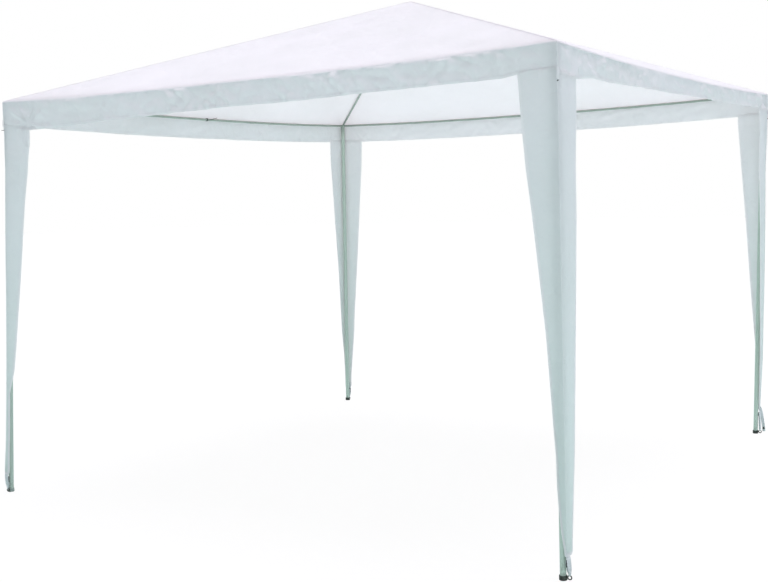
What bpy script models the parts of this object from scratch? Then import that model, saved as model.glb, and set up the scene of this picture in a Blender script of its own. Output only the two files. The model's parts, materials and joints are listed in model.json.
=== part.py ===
# Garden pavilion, 3 m by 3 m: a white sheet roof with valances and leg covers on a frame of steel tubes.
# Lengths are in metres and +Z is up. The front side faces -Y, the right side +X, and the ground is at z = 0.
# The pieces are placed about the middle of the four corners. An empty then carries them all, so that the
# origin lies on the ground under the middle of the whole outline, splayed feet included.

import math

import bmesh
import bpy
from mathutils import Matrix, Vector

# The frame as a whole
SPAN = 3.0
RAIL_HEIGHT = 2.010
RAFTER_RISE = 0.511
RAIL_BOW = 0.022
BOW_POWER = 2.5
BOW_STEPS = 14

# The tubes: legs are 25 mm, rails and rafters 13 mm
LEG_RADIUS = 0.0125
LEG_WALL = 0.0010
RAIL_RADIUS = 0.0065
RAIL_WALL = 0.0008
PLUG_LENGTH = 0.060
LEG_JOINT_HEIGHT = 0.970
SHOULDER_TAPER = 0.003
ROUND_STEPS = 24

# The connectors at the corners and at the peak
ARM_LENGTH = 0.070
STUB_LENGTH = 0.050
HUB_TOP = 0.0016
PEAK_HUB_RADIUS = 0.020
PEAK_HUB_TOP = 0.0
PEAK_HUB_BOTTOM = -0.022
PEAK_ARM_OVERLAPS = (0.0014, 0.0017, 0.0020, 0.0023)
ARM_OVERLAPS = (0.0011, 0.0016, 0.0022)

# The feet, which are caps over the legs' ends
FOOT_RADIUS = 0.0160
FOOT_BASE = 0.0045
FOOT_EDGE = 0.0015
FOOT_TOP = 0.018
FOOT_BORE = 0.0138

# The sheet, which hangs a little outside the frame
SHEET = 0.002
SHEET_OVERHANG = 0.021
VALANCE_DEPTH = 0.118
COVER_TOP_WIDTH = 0.168
COVER_HEM_WIDTH = 0.045
COVER_HEM_HEIGHT = 0.095
HEM_CORNER_RADIUS = 0.020
HEM_CORNER_STEPS = 4
STRAP_WIDTH = 0.025
STRAP_RING_WIDTH = 0.012
STRAP_THICKNESS = 0.0012
STRAP_EDGE = 0.010

# The ring at each strap's lower end, beside the foot
RING_RADIUS = 0.0078
RING_TUBE = 0.0024
RING_HEIGHT = 0.0125
RING_TUBE_STEPS = 8

# Clearances between pieces that touch on the real object
SEAT = 0.0003
SHEET_SEAT = 0.0004

HALF = SPAN / 2
EAVE = HALF + SHEET_OVERHANG
SLOPE = RAFTER_RISE / HALF
SLOPE_COS = 1 / math.hypot(1, SLOPE)
PEAK_AXIS = RAIL_HEIGHT + RAFTER_RISE
PEAK_UNDERSIDE = PEAK_AXIS + (RAIL_RADIUS + SHEET_SEAT) / SLOPE_COS
EAVE_UNDERSIDE = PEAK_UNDERSIDE - EAVE * SLOPE
COVER_TOP = EAVE_UNDERSIDE - SEAT - VALANCE_DEPTH - SEAT
LEG_BORE = LEG_RADIUS - LEG_WALL
RAIL_BORE = RAIL_RADIUS - RAIL_WALL

# Each corner's place in plan
CORNERS = {
    "front_right": (1, -1),
    "front_left": (-1, -1),
    "back_left": (-1, 1),
    "back_right": (1, 1),
}

# How far each foot stands from the point under its corner: the light frame leans and splays a little
FOOT_SHIFT = {
    "front_right": (0.0065, -0.0200),
    "front_left": (-0.082, -0.0515),
    "back_left": (0.012, -0.070),
    "back_right": (-0.036, -0.070),
}

# How far each leg cover hangs aside from its leg at the foot
COVER_SWAY = {
    "front_right": (0.004, 0.003),
    "front_left": (-0.0097, -0.0062),
    "back_left": (0, 0),
    "back_right": (0, 0),
}

# Which panel of its leg cover each strap hangs from, as seen from outside the corner
STRAP_HAND = {
    "front_right": "right",
    "front_left": "right",
    "back_left": "left",
    "back_right": "left",
}

# Each side is the front side, turned about the middle by this many quarter turns
SIDES = {"front": 0, "right": 1, "back": 2, "left": 3}

CARRIER = "pavilion_middle"

MATERIALS = {
    "white_sheet": ((0.86, 0.88, 0.92), 0.45, 0.0),
    "white_tape": ((0.78, 0.82, 0.84), 0.70, 0.0),
    "coated_steel": ((0.40, 0.45, 0.41), 0.35, 0.2),
    "black_plastic": ((0.02, 0.022, 0.02), 0.35, 0.0),
}


def clear_scene():
    for old in list(bpy.data.objects):
        bpy.data.objects.remove(old, do_unlink=True)


def new_collection(name, hidden=False):
    collection = bpy.data.collections.new(name)
    bpy.context.scene.collection.children.link(collection)
    collection.hide_render = hidden
    return collection


def material(name):
    """The named Principled material, made the first time it is asked for."""
    made = bpy.data.materials.get(name)
    if made:
        return made
    colour, roughness, metallic = MATERIALS[name]
    made = bpy.data.materials.new(name)
    made.use_nodes = True
    shader = made.node_tree.nodes["Principled BSDF"]
    shader.inputs["Base Color"].default_value = (*colour, 1)
    shader.inputs["Roughness"].default_value = roughness
    shader.inputs["Metallic"].default_value = metallic
    made.diffuse_color = (*colour, 1)
    return made


def new_object(name, mesh, finish, collection):
    made = bpy.data.objects.new(name, mesh)
    made.data.materials.append(material(finish))
    made.parent = bpy.data.objects[CARRIER]
    collection.objects.link(made)
    return made


def turned(name, profile, start, toward, finish, collection):
    """A body of revolution whose axis runs from start toward a point; profile holds (radius, distance) pairs."""
    mesh = bpy.data.meshes.new(name)
    shape = bmesh.new()
    rings = [shape.verts.new((radius, 0, along)) for radius, along in profile]
    for first, second in zip(rings, rings[1:]):
        shape.edges.new((first, second))
    on_axis = profile[0][0] == 0 and profile[-1][0] == 0
    if not on_axis:
        shape.edges.new((rings[-1], rings[0]))
    shape.to_mesh(mesh)
    shape.free()
    made = new_object(name, mesh, finish, collection)
    screw = made.modifiers.new("Turn", "SCREW")
    screw.steps = ROUND_STEPS
    screw.render_steps = ROUND_STEPS
    screw.use_merge_vertices = True
    screw.merge_threshold = 0.00001
    screw.use_normal_flip = True
    made.location = start
    made.rotation_mode = "QUATERNION"
    made.rotation_quaternion = (Vector(toward) - Vector(start)).to_track_quat("Z", "Y")
    return made


def baked(made):
    """Applies an object's modifiers, so that its vertices can be moved one by one."""
    graph = bpy.context.evaluated_depsgraph_get()
    mesh = bpy.data.meshes.new_from_object(made.evaluated_get(graph))
    made.modifiers.clear()
    made.data = mesh
    return made


def join_to(body, others):
    """Unites the other solids with the body and keeps them as unseen helpers."""
    for other in others:
        union = body.modifiers.new("Join " + other.name, "BOOLEAN")
        union.operation = "UNION"
        union.solver = "EXACT"
        union.object = other
        other.display_type = "WIRE"
        other.hide_render = True
    return body


def thick_sheet(name, rows, move, finish, collection):
    """A closed sheet: cells between rows of points, thickened by moving a copy of each point by move(point)."""
    shape = bmesh.new()
    grid = [[shape.verts.new(point) for point in row] for row in rows]
    longest = max(len(row) for row in grid)
    grid = [row if len(row) == longest else row * longest for row in grid]
    for above, below in zip(grid, grid[1:]):
        for i in range(longest - 1):
            ring = dict.fromkeys((above[i], above[i + 1], below[i + 1], below[i]))
            shape.faces.new(tuple(ring))
    thicken(shape, move)
    mesh = bpy.data.meshes.new(name)
    shape.to_mesh(mesh)
    shape.free()
    return new_object(name, mesh, finish, collection)


def thicken(shape, move):
    """Turns an open sheet into a closed one by extruding all its faces."""
    grown = bmesh.ops.extrude_face_region(shape, geom=shape.faces[:], use_keep_orig=True)
    for item in grown["geom"]:
        if isinstance(item, bmesh.types.BMVert):
            item.co += move(item.co.copy())
    bmesh.ops.recalc_face_normals(shape, faces=shape.faces[:])


def bow(along):
    """How far a rail hangs below its ends, at this distance from the middle of its side."""
    share = min(abs(along) / HALF, 1)
    return RAIL_BOW * (1 - share**BOW_POWER)


def corner_point(corner):
    x, y = CORNERS[corner]
    return Vector((x * HALF, y * HALF, RAIL_HEIGHT))


def foot_point(corner):
    x, y = CORNERS[corner]
    shift_x, shift_y = FOOT_SHIFT[corner]
    return Vector((x * HALF + shift_x, y * HALF + shift_y, 0))


def quarter_turn(count):
    return Matrix.Rotation(count * math.pi / 2, 4, "Z")


def plug_tube(radius, wall, length, plug, stations=()):
    """The outline of a tube whose lower end is drawn in, so that it plugs into the next tube."""
    bore = radius - wall
    plug_radius = bore - SEAT
    plug_bore = plug_radius - wall
    outside = [(plug_radius, -plug), (plug_radius, 0), (radius, SHOULDER_TAPER)]
    outside += [(radius, station) for station in stations]
    outside += [(radius, length)]
    inside = [(bore, length)]
    inside += [(bore, station) for station in reversed(stations)]
    inside += [(bore, SHOULDER_TAPER), (plug_bore, 0), (plug_bore, -plug)]
    return outside + inside


def open_tube(radius, wall, length, stations=()):
    """The outline of a plain tube that is open at both ends."""
    bore = radius - wall
    outside = [(radius, 0)] + [(radius, station) for station in stations] + [(radius, length)]
    inside = [(bore, length)] + [(bore, station) for station in reversed(stations)] + [(bore, 0)]
    return outside + inside


def connector_arm(name, start, toward, radius, bore, top, finish, helpers):
    """One arm of a connector: a thick length, and a stub that goes into the tube."""
    stub = bore - SEAT
    reach = ARM_LENGTH + STUB_LENGTH
    profile = [(0, -top), (radius, -top), (radius, ARM_LENGTH), (stub, ARM_LENGTH), (stub, reach), (0, reach)]
    return turned(name, profile, start, toward, finish, helpers)


def leg_direction(corner):
    """From the corner down along the leg, one metre long."""
    return (foot_point(corner) - corner_point(corner)).normalized()


def rail_arm_target(corner, axis):
    """A point on the bowed rail, in the middle of the stub that carries it."""
    point = corner_point(corner)
    inward = ARM_LENGTH + STUB_LENGTH / 2
    point[axis] -= math.copysign(inward, point[axis])
    point.z -= bow(HALF - inward)
    return point


def build_corner_connector(corner, parts, helpers):
    start = corner_point(corner)
    body = connector_arm(
        "corner_connector_" + corner, start, start + leg_direction(corner),
        LEG_RADIUS, LEG_BORE, HUB_TOP, "coated_steel", parts,
    )
    peak = Vector((0, 0, PEAK_AXIS))
    targets = [rail_arm_target(corner, 0), rail_arm_target(corner, 1), peak]
    arms = [
        connector_arm(
            f"{corner}_{arm}", start, target, RAIL_RADIUS, RAIL_BORE, overlap, "coated_steel", helpers
        )
        for arm, target, overlap in zip(("x_arm", "y_arm", "roof_arm"), targets, ARM_OVERLAPS)
    ]
    return join_to(body, arms)


def build_peak_connector(parts, helpers):
    start = Vector((0, 0, PEAK_AXIS))
    profile = [
        (0, PEAK_HUB_BOTTOM), (PEAK_HUB_RADIUS, PEAK_HUB_BOTTOM),
        (PEAK_HUB_RADIUS, PEAK_HUB_TOP), (0, PEAK_HUB_TOP),
    ]
    body = turned("peak_connector", profile, start, start + Vector((0, 0, 1)), "coated_steel", parts)
    arms = [
        connector_arm(
            "peak_arm_" + corner, start, corner_point(corner),
            RAIL_RADIUS, RAIL_BORE, overlap, "coated_steel", helpers,
        )
        for corner, overlap in zip(CORNERS, PEAK_ARM_OVERLAPS)
    ]
    return join_to(body, arms)


def build_leg(corner, parts):
    """Two lengths of tube, the upper one plugged into the lower."""
    down = leg_direction(corner)
    lean = math.acos(-down.z)
    top = corner_point(corner)
    foot_height = FOOT_BASE + SEAT + LEG_RADIUS * math.sin(lean)
    bottom = top + down * ((RAIL_HEIGHT - foot_height) / -down.z)
    joint = top + down * ((RAIL_HEIGHT - LEG_JOINT_HEIGHT) / -down.z)
    upper_length = (joint - top).length - ARM_LENGTH - SEAT
    lower_length = (joint - bottom).length - SEAT
    turned(
        "leg_lower_" + corner, open_tube(LEG_RADIUS, LEG_WALL, lower_length),
        bottom, top, "coated_steel", parts,
    )
    turned(
        "leg_upper_" + corner, plug_tube(LEG_RADIUS, LEG_WALL, upper_length, PLUG_LENGTH),
        joint, top, "coated_steel", parts,
    )


def build_foot(corner, parts):
    """A round plastic cap that the leg stands in."""
    profile = [
        (0, 0), (FOOT_RADIUS - FOOT_EDGE, 0), (FOOT_RADIUS, FOOT_EDGE), (FOOT_RADIUS, FOOT_TOP),
        (FOOT_BORE, FOOT_TOP), (FOOT_BORE, FOOT_BASE), (0, FOOT_BASE),
    ]
    start = foot_point(corner)
    turned("foot_" + corner, profile, start, start + Vector((0, 0, 1)), "black_plastic", parts)


def bow_stations():
    """Distances from the middle of a side at which rails, roof and valance follow the bow."""
    return [HALF * (2 * i / BOW_STEPS - 1) for i in range(BOW_STEPS + 1)]


def build_rail(side, parts):
    """Two halves that bow down between the corners; the left half plugs into the right one."""
    reach = HALF - ARM_LENGTH - SEAT
    stations = [x for x in bow_stations() if PLUG_LENGTH < x < reach]
    outlines = {
        "left": plug_tube(RAIL_RADIUS, RAIL_WALL, reach, PLUG_LENGTH, stations),
        "right": open_tube(RAIL_RADIUS, RAIL_WALL, reach - SEAT, [x - SEAT for x in stations]),
    }
    for half, outline in outlines.items():
        direction = -1 if half == "left" else 1
        start = Vector((SEAT if half == "right" else 0, 0, 0))
        rail = turned(
            f"rail_{side}_{half}_half", outline, start, start + Vector((direction, 0, 0)), "coated_steel", parts
        )
        baked(rail)
        rail.data.transform(rail.matrix_basis)
        rail.matrix_basis = Matrix.Identity(4)
        for vertex in rail.data.vertices:
            vertex.co.z -= bow(vertex.co.x)
        rail.data.transform(Matrix.Translation((0, -HALF, RAIL_HEIGHT)))
        rail.matrix_basis = quarter_turn(SIDES[side])


def build_rafter(corner, parts):
    start = corner_point(corner)
    peak = Vector((0, 0, PEAK_AXIS))
    along = (peak - start).normalized()
    first = start + along * (ARM_LENGTH + SEAT)
    length = (peak - start).length - 2 * (ARM_LENGTH + SEAT)
    turned("rafter_" + corner, open_tube(RAIL_RADIUS, RAIL_WALL, length), first, peak, "coated_steel", parts)


def build_roof_panel(side, parts):
    """A quarter of the roof: straight lines from the peak to the bowed eave, on its rail and two rafters."""
    seam = SEAT / math.sqrt(2)
    tip = Vector((0, -seam, PEAK_UNDERSIDE - seam * SLOPE))
    eave = []
    for x in bow_stations():
        at = max(-EAVE + seam, min(EAVE - seam, x * EAVE / HALF))
        eave.append(Vector((at, -EAVE, EAVE_UNDERSIDE - bow(x))))
    upward = Vector((0, 0, SHEET / SLOPE_COS))
    panel = thick_sheet("roof_panel_" + side, [[tip], eave], lambda point: upward, "white_sheet", parts)
    panel.matrix_basis = quarter_turn(SIDES[side])


def build_valance(side, parts):
    """The strip that hangs down from the eave, mitred at its ends."""
    seam = SEAT / math.sqrt(2)
    top = []
    bottom = []
    for x in bow_stations():
        at = max(-EAVE + seam, min(EAVE - seam, x * EAVE / HALF))
        height = EAVE_UNDERSIDE - bow(x) - SEAT
        top.append(Vector((at, -EAVE, height)))
        bottom.append(Vector((at, -EAVE, height - VALANCE_DEPTH)))

    def inward(point):
        at_end = abs(point.x) > HALF
        return Vector((-math.copysign(SHEET, point.x) if at_end else 0, SHEET, 0))

    valance = thick_sheet("valance_" + side, [top, bottom], inward, "white_sheet", parts)
    valance.matrix_basis = quarter_turn(SIDES[side])


def crease(corner, height):
    """The outer fold of a leg cover, from the valance's corner down to beside the foot."""
    x, y = CORNERS[corner]
    sway_x, sway_y = COVER_SWAY[corner]
    outward = Vector((x * SHEET_OVERHANG + sway_x, y * SHEET_OVERHANG + sway_y, 0))
    top = Vector((x * EAVE, y * EAVE, COVER_TOP))
    return (foot_point(corner) + outward).lerp(top, height / COVER_TOP)


def valance_slope():
    """How steeply the valance's edges fall from a corner to their first bow station."""
    first = bow_stations()[1]
    return bow(first) / ((HALF + first) * EAVE / HALF)


def cover_outline():
    """The cut of one cover panel, as (distance from the crease, height) pairs."""
    outline = [(0, COVER_TOP), (0, COVER_HEM_HEIGHT)]
    middle = COVER_HEM_WIDTH - HEM_CORNER_RADIUS
    for i in range(HEM_CORNER_STEPS + 1):
        angle = math.pi / 2 * i / HEM_CORNER_STEPS
        across = middle + HEM_CORNER_RADIUS * math.sin(angle)
        outline.append((across, COVER_HEM_HEIGHT + HEM_CORNER_RADIUS * (1 - math.cos(angle))))
    outline.append((COVER_TOP_WIDTH, COVER_TOP - COVER_TOP_WIDTH * valance_slope()))
    return outline


def panel_axes(corner, hand):
    """Directions along and out of the cover panel on the left or right, as seen from outside the corner."""
    x, y = CORNERS[corner]
    on_right_side = Vector((0, -y, 0)), Vector((x, 0, 0))
    on_front_side = Vector((-x, 0, 0)), Vector((0, y, 0))
    first = on_right_side if x * y < 0 else on_front_side
    second = on_front_side if x * y < 0 else on_right_side
    return first if hand == "right" else second


def build_cover_panel(corner, hand, parts):
    """Half of a leg cover: a long tapering flap that hangs from the valance along one side of the leg."""
    along, outward = panel_axes(corner, hand)
    mitre = SEAT / math.sqrt(2)
    shape = bmesh.new()
    outer = [
        shape.verts.new(crease(corner, height) + along * max(across, mitre))
        for across, height in cover_outline()
    ]
    shape.faces.new(outer)

    def inward(point):
        across = (point - crease(corner, point.z)).dot(along)
        return (along * SHEET if across < SHEET else Vector()) - outward * SHEET

    thicken(shape, inward)
    name = f"leg_cover_{corner}_{hand}"
    mesh = bpy.data.meshes.new(name)
    shape.to_mesh(mesh)
    shape.free()
    return new_object(name, mesh, "white_sheet", parts)


def ring_centre(corner):
    """The middle of a strap's ring, which stands upright along X and leans on the foot."""
    along, outward = panel_axes(corner, STRAP_HAND[corner])
    edge_on = abs(outward.x) > abs(outward.y)
    reach = FOOT_RADIUS + SEAT + RING_TUBE + (RING_RADIUS if edge_on else 0)
    return foot_point(corner) + outward * reach + Vector((0, 0, RING_HEIGHT))


def build_strap_ring(corner, parts):
    bpy.ops.mesh.primitive_torus_add(
        major_radius=RING_RADIUS, minor_radius=RING_TUBE,
        major_segments=ROUND_STEPS, minor_segments=RING_TUBE_STEPS,
    )
    torus = bpy.context.object
    mesh = torus.data
    bpy.data.objects.remove(torus)
    ring = new_object("strap_ring_" + corner, mesh, "black_plastic", parts)
    ring.location = ring_centre(corner)
    ring.rotation_euler = (math.pi / 2, 0, 0)


def strap_turn(along, outward):
    """Directions across and out of a strap's lower end, which lies along X in its ring."""
    if abs(outward.y) > abs(outward.x):
        return along, outward
    return outward * along.y, Vector((0, -outward.x, 0))


def build_strap(corner, parts):
    """The tape that ties the leg cover's hem down to the ring, with a quarter twist where the ring stands edge on."""
    along, outward = panel_axes(corner, STRAP_HAND[corner])
    low_along, low_outward = strap_turn(along, outward)
    top = crease(corner, COVER_HEM_HEIGHT - SEAT) + along * STRAP_EDGE
    bottom = ring_centre(corner) + Vector((0, 0, RING_RADIUS + RING_TUBE + SEAT))
    half = low_along * STRAP_RING_WIDTH / 2
    rows = [[top, top + along * STRAP_WIDTH], [bottom - half, bottom + half]]
    facing = outward if low_outward == outward else outward + low_outward
    inward = -facing * STRAP_THICKNESS
    thick_sheet("cover_strap_" + corner, rows, lambda point: inward, "white_tape", parts)


def centre_on_origin(parts, carrier):
    """Moves the carrier so that the middle of the parts' outline in plan lies on the origin."""
    graph = bpy.context.evaluated_depsgraph_get()
    lowest = Vector((math.inf, math.inf, 0))
    highest = Vector((-math.inf, -math.inf, 0))
    for part in parts.objects:
        if part.type != "MESH":
            continue
        evaluated = part.evaluated_get(graph)
        for vertex in evaluated.data.vertices:
            point = evaluated.matrix_world @ vertex.co
            for axis in (0, 1):
                lowest[axis] = min(lowest[axis], point[axis])
                highest[axis] = max(highest[axis], point[axis])
    carrier.location = -(lowest + highest) / 2
    print("The corners' middle lies at", [round(value, 6) for value in carrier.location])


def main():
    clear_scene()
    parts = new_collection("Garden pavilion")
    helpers = new_collection("Connector arms", hidden=True)
    carrier = bpy.data.objects.new(CARRIER, None)
    parts.objects.link(carrier)
    for corner in CORNERS:
        build_foot(corner, parts)
        build_leg(corner, parts)
        build_corner_connector(corner, parts, helpers)
        build_rafter(corner, parts)
        build_cover_panel(corner, "left", parts)
        build_cover_panel(corner, "right", parts)
        build_strap(corner, parts)
        build_strap_ring(corner, parts)
    build_peak_connector(parts, helpers)
    for side in SIDES:
        build_rail(side, parts)
        build_roof_panel(side, parts)
        build_valance(side, parts)
    centre_on_origin(parts, carrier)


main()
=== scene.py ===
# %% [markdown]
# This lesson dresses a light garden pavilion of 3 m by 3 m: a roof of thin white plastic sheet with a
# short valance, a long cover beside each leg, and a frame of slim steel tubes.
# The tubes, connectors, feet and rings come ready made and in place. They could be modelled here again,
# but two models of one frame drift apart, so the frame is loaded as it is. This script only gives it
# finishes, and hangs real folds of sheet on it in place of plain flat panels.

# %% Load the frame
import json
import math

import bmesh
import bpy
import numpy as np
from mathutils import Euler, Matrix, Vector, noise


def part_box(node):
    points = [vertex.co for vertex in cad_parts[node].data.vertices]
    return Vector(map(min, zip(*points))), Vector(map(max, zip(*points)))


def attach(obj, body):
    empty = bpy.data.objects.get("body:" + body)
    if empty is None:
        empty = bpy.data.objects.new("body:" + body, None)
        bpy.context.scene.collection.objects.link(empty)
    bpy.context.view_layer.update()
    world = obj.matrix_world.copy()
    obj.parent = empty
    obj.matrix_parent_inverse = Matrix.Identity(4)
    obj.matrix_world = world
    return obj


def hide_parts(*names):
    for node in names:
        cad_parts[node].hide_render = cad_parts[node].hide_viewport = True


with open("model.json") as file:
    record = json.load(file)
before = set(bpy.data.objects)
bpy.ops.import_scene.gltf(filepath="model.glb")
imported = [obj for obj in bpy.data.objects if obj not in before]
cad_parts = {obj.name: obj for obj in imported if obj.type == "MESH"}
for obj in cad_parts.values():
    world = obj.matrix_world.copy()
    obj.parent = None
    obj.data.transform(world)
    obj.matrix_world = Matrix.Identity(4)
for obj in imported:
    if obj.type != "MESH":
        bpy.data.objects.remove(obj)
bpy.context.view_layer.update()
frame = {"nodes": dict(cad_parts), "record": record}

# %% [markdown]
# The camera comes first, because it decides how large each wrinkle has to be. On a photograph, a camera
# can be found by trial, or worked out from points whose places are known. Here the four feet, three
# corners of the roof and its peak were used. The camera stands 1.44 m above the ground, just below the
# eaves, which is why so little of the roof shows and so much of its underside does.

# %% The camera
CAMERA_PLACE = (3.2519, -5.3717, 1.4404)
CAMERA_TURN = (1.4934, 0.0, 0.5684)
CAMERA_ROLL = -0.0304
CAMERA_LENS = 53.19

camera = bpy.data.objects.new("camera", bpy.data.cameras.new("camera"))
bpy.context.scene.collection.objects.link(camera)
camera.data.lens = CAMERA_LENS
camera.data.clip_end = 200
turn = Euler(CAMERA_TURN).to_matrix().to_4x4() @ Matrix.Rotation(CAMERA_ROLL, 4, "Z")
camera.matrix_world = Matrix.Translation(CAMERA_PLACE) @ turn
bpy.context.scene.camera = camera
print("The camera looks along", [round(x, 3) for x in turn @ Vector((0, 0, -1))])

# %% [markdown]
# Every material below is a small net of nodes. Written out in full, each node takes three or four lines,
# and the idea gets lost among them. So short helpers add a node with its inputs, do a sum, make noise, and
# start a group. An input may be a number, a colour, or the output of another node.

# %% Helpers for node trees
def plug(tree, socket, value):
    """Links an output to this input, or sets the input to a plain value."""
    if isinstance(value, bpy.types.NodeSocket):
        tree.links.new(value, socket)
    else:
        socket.default_value = value


def add_node(tree, kind, inputs, **settings):
    """A new shader node with its properties set and its inputs filled."""
    made = tree.nodes.new("ShaderNode" + kind)
    for name, value in settings.items():
        setattr(made, name, value)
    for name, value in inputs.items():
        plug(tree, made.inputs[name], value)
    return made


def sum_of(tree, operation, first, second=0.0):
    """One sum between two numbers that change over the surface."""
    return add_node(tree, "Math", {0: first, 1: second}, operation=operation).outputs[0]


def times(tree, first, second):
    """The product of two numbers."""
    return sum_of(tree, "MULTIPLY", first, second)


def less(tree, first, second):
    """The first number less the second."""
    return sum_of(tree, "SUBTRACT", first, second)


def height_of(tree, place):
    """How high a point lies."""
    return add_node(tree, "SeparateXYZ", {0: place}).outputs["Z"]


def scaled_by(tree, vector, factor):
    """A point or direction, made longer by this factor."""
    return add_node(tree, "VectorMath", {0: vector, "Scale": factor}, operation="SCALE").outputs[0]


def noise_of(tree, place, scale, detail, output="Fac", **more):
    """Soft noise between 0 and 1, or the same as a colour."""
    inputs = {"Vector": place, "Scale": scale, "Detail": detail, **more}
    return add_node(tree, "TexNoise", inputs).outputs[output]


def spread(tree, value, low, high, new_low=0.0, new_high=1.0):
    """Maps the range from low to high onto another range, and stays inside it."""
    inputs = {"Value": value, "From Min": low, "From Max": high, "To Min": new_low, "To Max": new_high}
    return add_node(tree, "MapRange", inputs, clamp=True).outputs["Result"]


def blend(tree, share, first, second):
    """A mix of two colours."""
    inputs = {"Factor": share, 6: first, 7: second}
    return add_node(tree, "Mix", inputs, data_type="RGBA").outputs[2]


def new_group(name, inputs, outputs):
    """A group with named sockets. Returns it with the sockets that its nodes are linked to."""
    group = bpy.data.node_groups.new(name, "ShaderNodeTree")
    for label, kind, value in inputs:
        socket = group.interface.new_socket(label, in_out="INPUT", socket_type="NodeSocket" + kind)
        if kind == "Float":
            socket.default_value = value
    for label, kind in outputs:
        group.interface.new_socket(label, in_out="OUTPUT", socket_type="NodeSocket" + kind)
    start = group.nodes.new("NodeGroupInput")
    end = group.nodes.new("NodeGroupOutput")
    return group, start.outputs, end.inputs


def use_group(tree, group, inputs):
    """Places a group in a material, with values of its own."""
    placed = tree.nodes.new("ShaderNodeGroup")
    placed.node_tree = group
    for name, value in inputs.items():
        plug(tree, placed.inputs[name], value)
    return placed.outputs

# %% [markdown]
# Light decides whether white cloth looks like cloth. One hard lamp would burn it out, and light that is
# the same from everywhere would hide every fold. So a wide soft sun stands high, a little to the right and
# behind. The sky is white overhead and darker towards the horizon, as if trees stood round it, so the roof
# looks brighter than the sides. The horizon is greenish in front and bluer on the right, which tells the
# faces of a fold apart by their hue as well. The camera itself sees a plain white background.

# %% The light
SUN_STRENGTH = 2.45
SUN_WIDTH = math.radians(45)
SUN_TURN = (math.radians(-10), math.radians(5), 0)
SUN_COLOUR = (1.04, 0.965, 1.04)
HORIZON_COLOUR = (0.26, 0.48, 0.49, 1)
RIGHT_COLOUR = (0.50, 0.60, 0.80, 1)
ZENITH_COLOUR = (1.09, 1.06, 1.17, 1)
SKY_STRENGTH = 0.62

sun = bpy.data.objects.new("sun", bpy.data.lights.new("sun", "SUN"))
bpy.context.scene.collection.objects.link(sun)
sun.data.energy = SUN_STRENGTH
sun.data.angle = SUN_WIDTH
sun.data.color = SUN_COLOUR
sun.rotation_euler = SUN_TURN

world = bpy.data.worlds.new("sky")
bpy.context.scene.world = world
world.use_nodes = True
sky = world.node_tree
direction = add_node(sky, "TexCoord", {}).outputs["Generated"]
parts = add_node(sky, "SeparateXYZ", {0: direction}).outputs
horizon = blend(sky, spread(sky, parts["X"], -0.2, 0.9), HORIZON_COLOUR, RIGHT_COLOUR)
sky_light = sky.nodes["Background"]
plug(sky, sky_light.inputs["Color"], blend(sky, spread(sky, parts["Z"], 0.0, 0.7), horizon, ZENITH_COLOUR))
sky_light.inputs["Strength"].default_value = SKY_STRENGTH
backdrop = add_node(sky, "Background", {"Color": (1, 1, 1, 1)})
by_camera = add_node(sky, "LightPath", {}).outputs["Is Camera Ray"]
choose = add_node(sky, "MixShader", {0: by_camera, 1: sky_light.outputs[0], 2: backdrop.outputs[0]})
sky.links.new(choose.outputs[0], sky.nodes["World Output"].inputs["Surface"])
bpy.context.scene.view_settings.view_transform = "Standard"
print("Sun", SUN_STRENGTH, "and sky", SKY_STRENGTH)

# %% [markdown]
# Sheet of this kind is woven from flat plastic tapes about 2 mm wide and then coated. The weave could be
# an image, but then its scale would hang on how large the image is mapped. Two sine waves give the same
# relief at any scale: one for the tapes that run along, one for those that run across, and a
# checkerboard that says which of the two lies on top.

# %% Group: woven tapes
def make_weave_group():
    group, given, out = new_group(
        "Woven tapes",
        [("Vector", "Vector", None), ("Tape Width", "Float", 0.002)],
        [("Height", "Float")],
    )
    density = sum_of(group, "DIVIDE", 1.0, given["Tape Width"])
    scaled = scaled_by(group, given["Vector"], density)
    parts = add_node(group, "SeparateXYZ", {0: scaled}).outputs
    waves = []
    for axis in ("X", "Y"):
        phase = times(group, parts[axis], math.pi)
        waves.append(sum_of(group, "ABSOLUTE", sum_of(group, "SINE", phase)))
    on_top = add_node(group, "TexChecker", {"Vector": scaled, "Scale": 1.0}).outputs["Fac"]
    along = times(group, waves[0], on_top)
    across = times(group, waves[1], less(group, 1.0, on_top))
    plug(group, out["Height"], sum_of(group, "ADD", along, across))
    return group


weave_group = make_weave_group()
print("Made", weave_group.name)

# %% [markdown]
# A sheet that has been packed in a bag keeps a net of small creases between flat patches. Plain noise
# gives soft hills and no creases. Voronoi cells do better: the distance to a cell's edge is flat inside
# and drops at the border, just like a crease. Two sizes of cell, bent a little by noise, look handled.

# %% Group: packing creases
CELL_SIZES = (1.0, 2.7)
CREASE_REACH = 0.16


def make_crease_group():
    group, given, out = new_group(
        "Packing creases",
        [("Vector", "Vector", None), ("Scale", "Float", 9.0), ("Bend", "Float", 0.05)],
        [("Height", "Float"), ("Patch", "Float")],
    )
    wander = noise_of(group, given["Vector"], 5.0, 2.0, "Color")
    moved = scaled_by(group, wander, given["Bend"])
    place = add_node(group, "VectorMath", {0: given["Vector"], 1: moved}, operation="ADD").outputs[0]
    heights = []
    for finer in CELL_SIZES:
        where = {"Vector": place, "Scale": times(group, given["Scale"], finer)}
        cells = add_node(group, "TexVoronoi", where, feature="DISTANCE_TO_EDGE").outputs["Distance"]
        heights.append(sum_of(group, "DIVIDE", spread(group, cells, 0.0, CREASE_REACH), finer * 1.5))
    patch = add_node(group, "TexVoronoi", {"Vector": place, "Scale": given["Scale"]}).outputs["Distance"]
    plug(group, out["Height"], sum_of(group, "ADD", heights[0], heights[1]))
    plug(group, out["Patch"], patch)
    return group


crease_group = make_crease_group()
print("Made", crease_group.name)

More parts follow.
